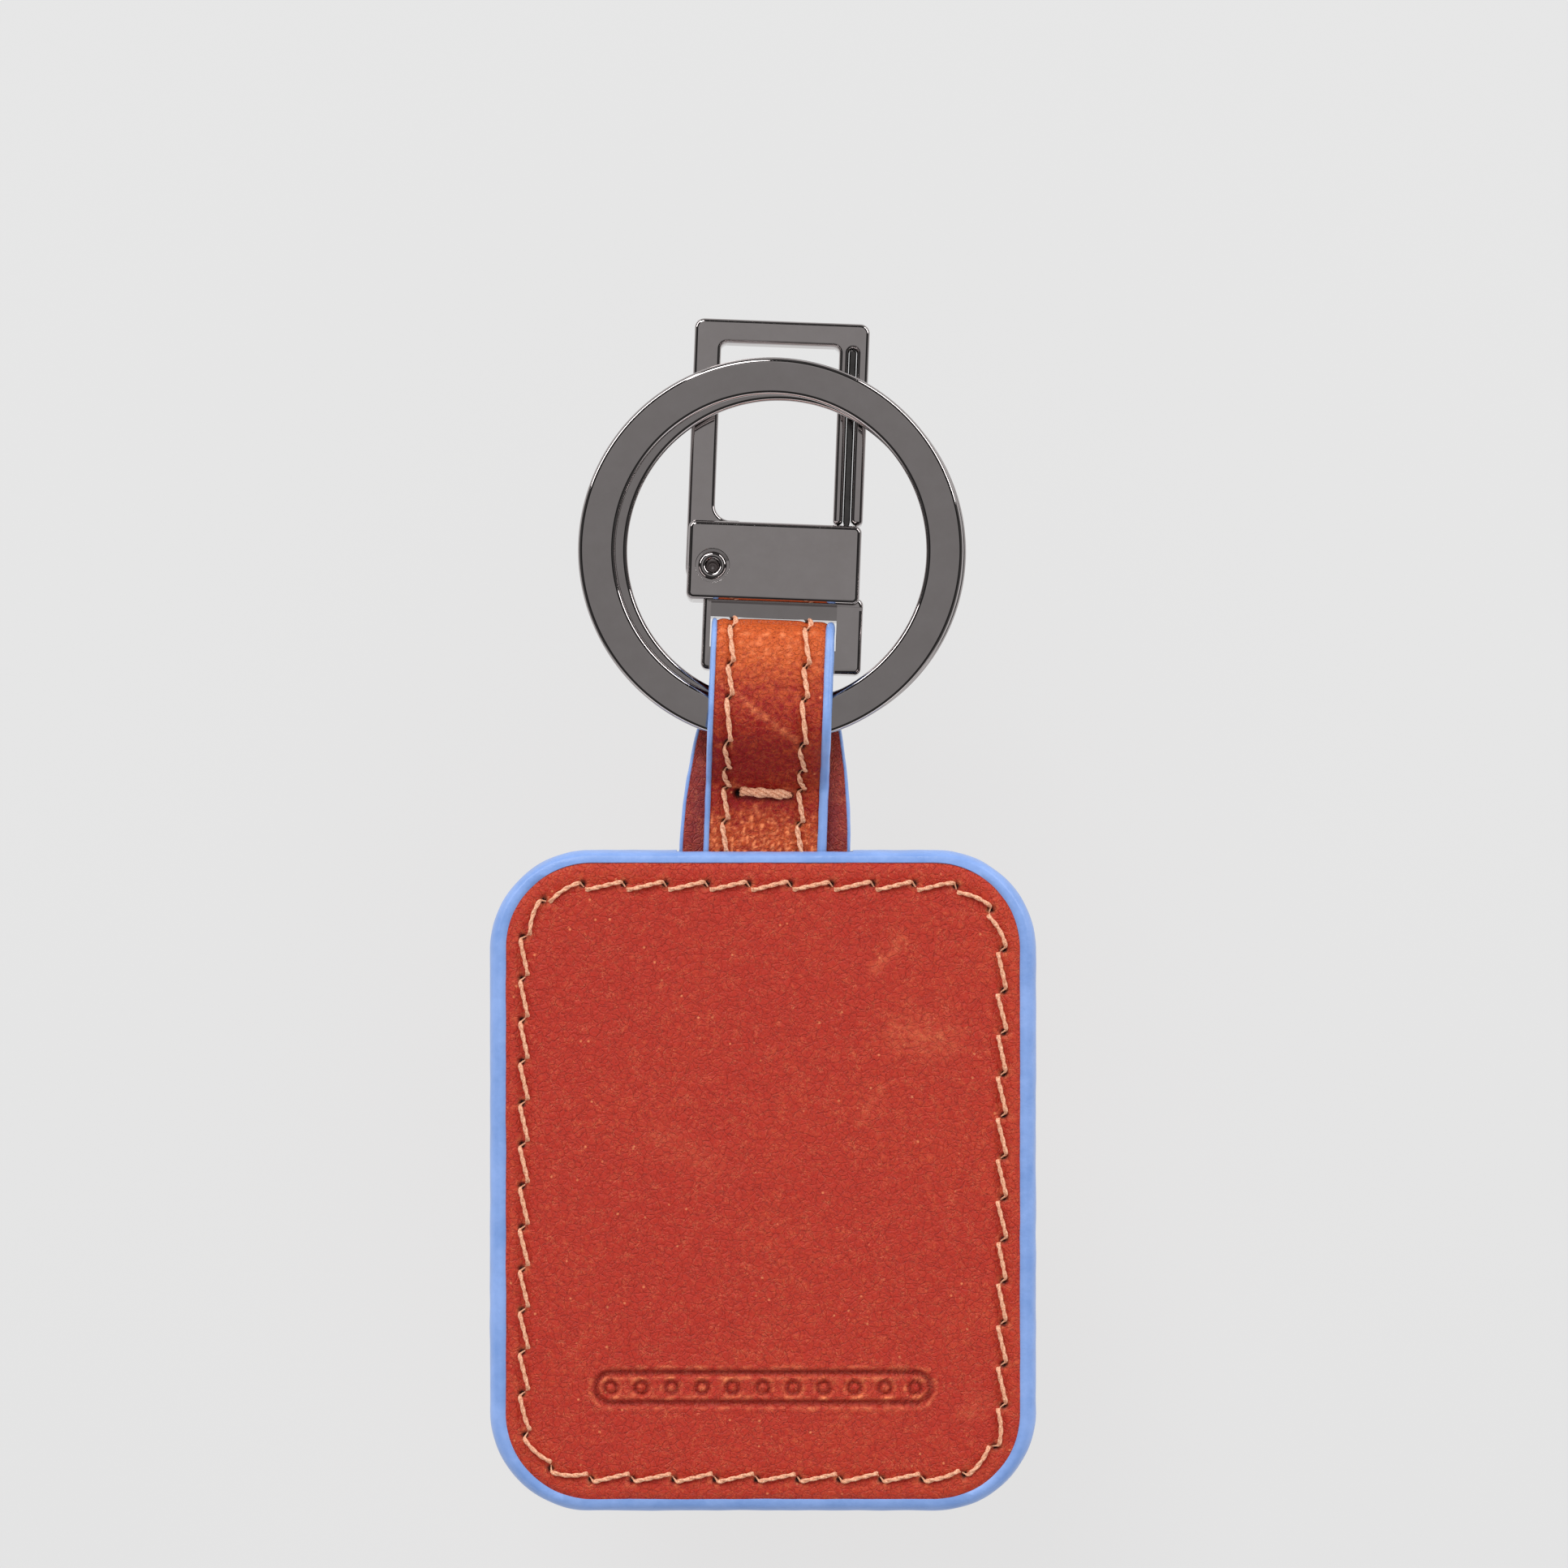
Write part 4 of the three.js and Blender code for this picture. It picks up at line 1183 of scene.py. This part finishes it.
# A flat piece of an even thickness from its outline.
def slab(points, half):
    bm = bmesh.new()
    face = bm.faces.new([bm.verts.new((x, y, -half)) for x, y in points])
    top = bmesh.ops.extrude_face_region(bm, geom=[face])
    verts = [g for g in top["geom"] if isinstance(g, bmesh.types.BMVert)]
    bmesh.ops.translate(bm, vec=(0, 0, 2 * half), verts=verts)
    bmesh.ops.recalc_face_normals(bm, faces=bm.faces)
    return bm


def roundedCorners(x0, x1, y0, y1, radius):
    points = []
    corners = ((x1, y0, -90), (x1, y1, 0), (x0, y1, 90), (x0, y0, 180))
    for x, y, start in corners:
        cx = x - math.copysign(radius, x - (x0 + x1) / 2)
        cy = y - math.copysign(radius, y - (y0 + y1) / 2)
        points += arcPoints(cx, cy, radius, start, start + 90)
    return points


# Rounds every sharp edge of a metal piece by a small even radius.
def softenEdges(piece, width, segments=4, angle=50):
    rounded = piece.modifiers.new("softEdges", "BEVEL")
    rounded.width = width * mm
    rounded.segments = segments
    rounded.limit_method = "ANGLE"
    rounded.angle_limit = math.radians(angle)
    rounded.miter_outer = "MITER_ARC"
    settle(piece)


# Softens the last cut edges and shades the piece as smooth metal.
def polish(piece):
    softenEdges(piece, 0.05, 2, 65)
    piece.data.shade_smooth()
    piece.data.set_sharp_from_angle(angle=math.radians(50))
    evenNormals(piece)


# Cuts the many-sided faces of a piece into triangles, so that it has the same surface wherever it turns.
def splitFaces(piece):
    bm = bmesh.new()
    bm.from_mesh(piece.data)
    bmesh.ops.triangulate(bm, faces=[f for f in bm.faces if len(f.verts) > 4])
    bm.to_mesh(piece.data)
    bm.free()


def makeClipBody():
    x = clip["boxWidth"] / 2
    low, high = clip["boxStart"], clip["boxTop"]
    bm = slab(roundedCorners(-x, x, low, high, clip["boxCorner"]), clip["boxHalf"])
    box = finishPiece("clipBox", meshOf(bm, "clipBox"), clipPlace, gunmetal, ["clip_body"])
    softenEdges(box, clip["edge"])
    px, py = clip["pivot"]
    lug = clip["lugRadius"]
    slot = clip["hookHalf"] + clip["slotGap"]
    seat = clip["boxHalf"] - clip["counterboreDepth"]
    bladeX = hook["right"] - hook["outerStrip"] - hook["slot"] / 2
    cutters = [
        blockObject((-9, px + lug + 0.3), (py - lug - 0.15, high + 2), (-slot, slot), clipPlace),
        drumObject((px, py), clip["hole"], (-3, 3), clipPlace),
        drumObject((px, py), clip["counterbore"], (seat, 3), clipPlace),
        drumObject((px, py), clip["counterbore"], (-3, -seat), clipPlace),
        blockObject(
            (bladeX - clip["socketHalf"], bladeX + clip["socketHalf"]),
            (high - clip["socketDepth"], high + 2),
            (-clip["socketHigh"], clip["socketHigh"]),
            clipPlace,
        ),
    ]
    carve(box, cutters)
    polish(box)
    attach(box, "clip")

    loopTop = low + clip["loopOverlap"]
    loopCorners = roundedCorners(
        clip["loopLeft"], clip["loopRight"], -clip["barHalf"], loopTop, clip["loopCorner"]
    )
    bm = slab(loopCorners, clip["loopHalf"])
    loop = finishPiece("clipStrapLoop", meshOf(bm, "clipStrapLoop"), clipPlace, gunmetal, [])
    softenEdges(loop, clip["loopEdge"])
    left, right = clip["windowLeft"], clip["windowRight"]
    thin = clip["barThin"]
    webSlope = Matrix.Translation((0, clip["webStart"], clip["loopHalf"] - 0.1))
    webSlope = webSlope @ Matrix.Rotation(math.radians(-clip["webTilt"]), 4, "X")
    cutters = [
        blockObject((left, right), (clip["barHalf"], clip["webStart"]), (-3, 3), clipPlace),
        blockObject((left, right), (-3, 2), (thin, 3), clipPlace),
        blockObject((left, right), (-3, 2), (-3, -thin), clipPlace),
        blockObject((left, right), (0, 9), (0, 3), clipPlace @ webSlope),
        blockObject(
            (right, 9),
            (low - clip["grooveFar"], low - clip["grooveNear"]),
            (clip["loopHalf"] - clip["grooveDepth"], 3),
            clipPlace,
        ),
    ]
    carve(loop, cutters)
    polish(loop)
    splitFaces(loop)
    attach(loop, "clip")


def makeHook():
    left, right, top, foot = hook["left"], hook["right"], hook["top"], hook["foot"]
    px, py = clip["pivot"]
    lug = clip["lugRadius"]
    legRight = left + hook["leftLeg"]
    windowTop = top - hook["topBar"]
    windowRight = right - hook["outerStrip"] - hook["slot"] - hook["innerStrip"]
    slotLeft = windowRight + hook["innerStrip"]
    slotRight = slotLeft + hook["slot"]
    slotHalf = hook["slot"] / 2
    wc, oc, fillet = hook["windowCorner"], hook["corner"], hook["fillet"]
    points = [
        *arcPoints(px, py, lug, 180, 360, 28),
        (px + lug, foot),
        *arcPoints(legRight + fillet, foot + fillet, fillet, 270, 180, 12),
        *arcPoints(legRight + wc, windowTop - wc, wc, 180, 90),
        *arcPoints(windowRight - wc, windowTop - wc, wc, 90, 0),
        (windowRight, foot),
        (slotLeft, foot),
        *arcPoints((slotLeft + slotRight) / 2, hook["slotTop"] - slotHalf, slotHalf, 180, 0, 8),
        (slotRight, foot + 0.35),
        (slotRight + 0.2, foot),
        (right, foot),
        *arcPoints(right - oc, top - oc, oc, 0, 90),
        *arcPoints(left + oc, top - oc, oc, 90, 180),
    ]
    bm = slab(points, clip["hookHalf"])
    mesh = meshOf(bm, "hookFrame")
    piece = finishPiece("hookFrame", mesh, clipPlace, gunmetal, ["hook_frame"])
    softenEdges(piece, hook["edge"])
    carve(piece, [drumObject((px, py), clip["hole"], (-3, 3), clipPlace)])
    polish(piece)
    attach(piece, "hook")


# The spring that nearly fills the hook's slot and ends in a barb inside the box, coloured near black as painted
# shade for the slot.
def makeBlade():
    middle = hook["right"] - hook["outerStrip"] - hook["slot"] / 2
    half = hook["slot"] / 2 - hook["bladeGap"]
    top = hook["slotTop"] - 0.06
    tip = clip["boxTop"] - hook["bladeReach"]
    points = [
        (middle - half * 0.4, tip),
        (middle + half * 0.4, tip),
        (middle + half * 0.7, tip + 0.6),
        (middle + half * 0.7, hook["foot"] - 0.1),
        (middle + half, hook["foot"] + 0.3),
        *arcPoints(middle, top - half, half, 0, 180, 12),
        (middle - half, hook["foot"] + 0.3),
        (middle - half * 0.7, hook["foot"] - 0.1),
        (middle - half * 0.7, tip + 1),
        (middle - half * 1.3, tip + 0.6),
    ]
    bm = slab(points, hook["bladeHalf"])
    mesh = meshOf(bm, "latchBlade")
    piece = finishPiece("latchBlade", mesh, clipPlace, slotShadeSteel, ["latch_blade"])
    softenEdges(piece, hook["bladeEdge"], 3)
    polish(piece)
    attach(piece, "hook")


# A hollow rivet with rolled heads, turned from its section.
def makeRivet():
    bore, shank, head = rivet["bore"], rivet["shank"], rivet["head"]
    roll = (head - bore) / 2
    neck = clip["boxHalf"] - rivet["sink"] - roll
    section = [(0, rivet["floor"]), (bore, 0.6), (bore, neck)]
    section += arcPoints(bore + roll, neck, roll, 180, 0, 14)
    section += [(head, neck - 0.03), (shank, neck - 0.05)]
    section += [(shank, -neck + 0.05), (head, -neck + 0.03)]
    section += arcPoints(bore + roll, -neck, roll, 0, -180, 14)
    section += [(bore, rivet["floor"] - 0.3), (0, rivet["floor"] - 0.2)]
    bm = bmesh.new()
    verts = [bm.verts.new((r, 0, z)) for r, z in section]
    for pair in zip(verts, verts[1:]):
        bm.edges.new(pair)
    bmesh.ops.spin(
        bm,
        geom=bm.verts[:] + bm.edges[:],
        cent=(0, 0, 0),
        axis=(0, 0, 1),
        angle=2 * math.pi,
        steps=64,
        use_merge=True,
    )
    bmesh.ops.remove_doubles(bm, verts=bm.verts, dist=0.0005)
    bmesh.ops.recalc_face_normals(bm, faces=bm.faces)
    bmesh.ops.translate(bm, vec=(*clip["pivot"], 0), verts=bm.verts)
    mesh = meshOf(bm, "hollowRivet")
    piece = finishPiece("hollowRivet", mesh, clipPlace, gunmetal, ["pivot_rivet"], 50)
    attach(piece, "clip")


makeClipBody()
makeHook()
makeBlade()
makeRivet()
for nodeName, material in (("stiffener_core", boardFibre), ("strap_tail", strapLeather)):
    node = frame["nodes"][nodeName]
    node.data.materials.clear()
    node.data.materials.append(material)
print("clip made")

studio = {
    "floorDrop": 0.036,
    "floorColor": (0.12, 0.12, 0.12),
    "floorGlow": 0.645,
    "background": (0.783, 0.783, 0.783),
    "ambient": (0.72, 0.72, 0.72),
    "darkRoom": 0.02,
    "walls": 0.1,
    "sunStrength": 0.9,
    "sunAngle": 20,
    "sunTilt": 42,
    "sunLean": 14,
    "panels": (
        ("panelLeft", (-0.75, 0.7, 0.42), 3.4),
        ("panelRight", (0.8, 0.62, 0.4), 3.4),
    ),
    "panelSize": (0.75, 0.16),
    "panelDistance": 0.9,
    "overhead": (0.285, 0.5),  # what the metal mirrors straight up, from front to back
    "frontStrip": 1.9,
    "viewCentre": (0.00175, 0.01084),
    "viewWidth": 0.13019,
    "viewDistance": 0.62,
    "sensor": 36,
}


def makeFloor():
    bm = bmesh.new()
    bmesh.ops.create_grid(bm, x_segments=1, y_segments=1, size=3)
    bmesh.ops.translate(bm, vec=(0, 0, -studio["floorDrop"]), verts=bm.verts)
    floor = bpy.data.objects.new("floor", meshOf(bm, "floor"))
    material, shader = newMaterial("paleFloor", studio["floorColor"], 0.9)
    shader.inputs["Specular IOR Level"].default_value = 0.0
    shader.inputs["Emission Color"].default_value = (1, 1, 1, 1)
    shader.inputs["Emission Strength"].default_value = studio["floorGlow"]
    floor.data.materials.append(material)
    bpy.context.scene.collection.objects.link(floor)


# Even soft light. Metal mirrors grey overhead, dim walls round it and a pale strip low in front.
def makeWorld():
    world = bpy.data.worlds.new("softRoom")
    world.use_nodes = True
    bpy.context.scene.world = world
    tree = world.node_tree
    place = addNode(world, "ShaderNodeTexCoord")
    split = addNode(world, "ShaderNodeSeparateXYZ")
    join(world, place.outputs["Generated"], split.inputs["Vector"])
    y, z = split.outputs["Y"], split.outputs["Z"]
    overhead = spread(world, z, 0.9, 0.965)
    sky = reckon(world, "MULTIPLY", overhead, spread(world, y, -0.3, 0.3, *studio["overhead"]))
    low = reckon(world, "MULTIPLY", spread(world, z, -0.1, 0.02), spread(world, z, 0.2, 0.34, 1, 0))
    front = reckon(world, "MULTIPLY", low, spread(world, y, -0.5, -0.8, 0, studio["frontStrip"]))
    walls = spread(world, z, 0.8, 0.55, studio["darkRoom"], studio["walls"])
    mirrored = reckon(world, "ADD", reckon(world, "ADD", sky, front), walls)
    room = tree.nodes["Background"]
    room.inputs["Color"].default_value = (*studio["ambient"], 1)
    shiny = addNode(world, "ShaderNodeBackground")
    join(world, mirrored, shiny.inputs["Color"])
    seen = addNode(world, "ShaderNodeBackground", Color=(*studio["background"], 1))
    rays = addNode(world, "ShaderNodeLightPath")
    first = addNode(world, "ShaderNodeMixShader")
    join(world, rays.outputs["Is Glossy Ray"], first.inputs["Fac"])
    join(world, room.outputs["Background"], first.inputs[1])
    join(world, shiny.outputs["Background"], first.inputs[2])
    second = addNode(world, "ShaderNodeMixShader")
    join(world, rays.outputs["Is Camera Ray"], second.inputs["Fac"])
    join(world, first.outputs["Shader"], second.inputs[1])
    join(world, seen.outputs["Background"], second.inputs[2])
    join(world, second.outputs["Shader"], tree.nodes["World Output"].inputs["Surface"])


def makeLight():
    light = bpy.data.lights.new("softSun", "SUN")
    light.energy = studio["sunStrength"]
    light.angle = math.radians(studio["sunAngle"])
    lamp = bpy.data.objects.new("softSun", light)
    lamp.rotation_euler = (math.radians(-studio["sunTilt"]), math.radians(-studio["sunLean"]), 0)
    bpy.context.scene.collection.objects.link(lamp)
    for name, direction, power in studio["panels"]:
        panel = bpy.data.lights.new(name, "AREA")
        panel.shape = "RECTANGLE"
        panel.size, panel.size_y = studio["panelSize"]
        panel.energy = power
        holder = bpy.data.objects.new(name, panel)
        toward = Vector(direction).normalized()
        holder.location = toward * studio["panelDistance"]
        holder.rotation_euler = toward.to_track_quat("Z", "Y").to_euler()
        bpy.context.scene.collection.objects.link(holder)


def makeCamera():
    data = bpy.data.cameras.new("camera")
    data.sensor_width = studio["sensor"]
    data.lens = studio["sensor"] * studio["viewDistance"] / studio["viewWidth"]
    data.clip_start, data.clip_end = 0.01, 20
    camera = bpy.data.objects.new("camera", data)
    camera.location = (*studio["viewCentre"], tag["thickness"] * mm + studio["viewDistance"])
    bpy.context.scene.collection.objects.link(camera)
    bpy.context.scene.camera = camera


makeFloor()
makeWorld()
makeLight()
makeCamera()
bpy.context.scene.view_settings.view_transform = "Standard"
print("studio made")
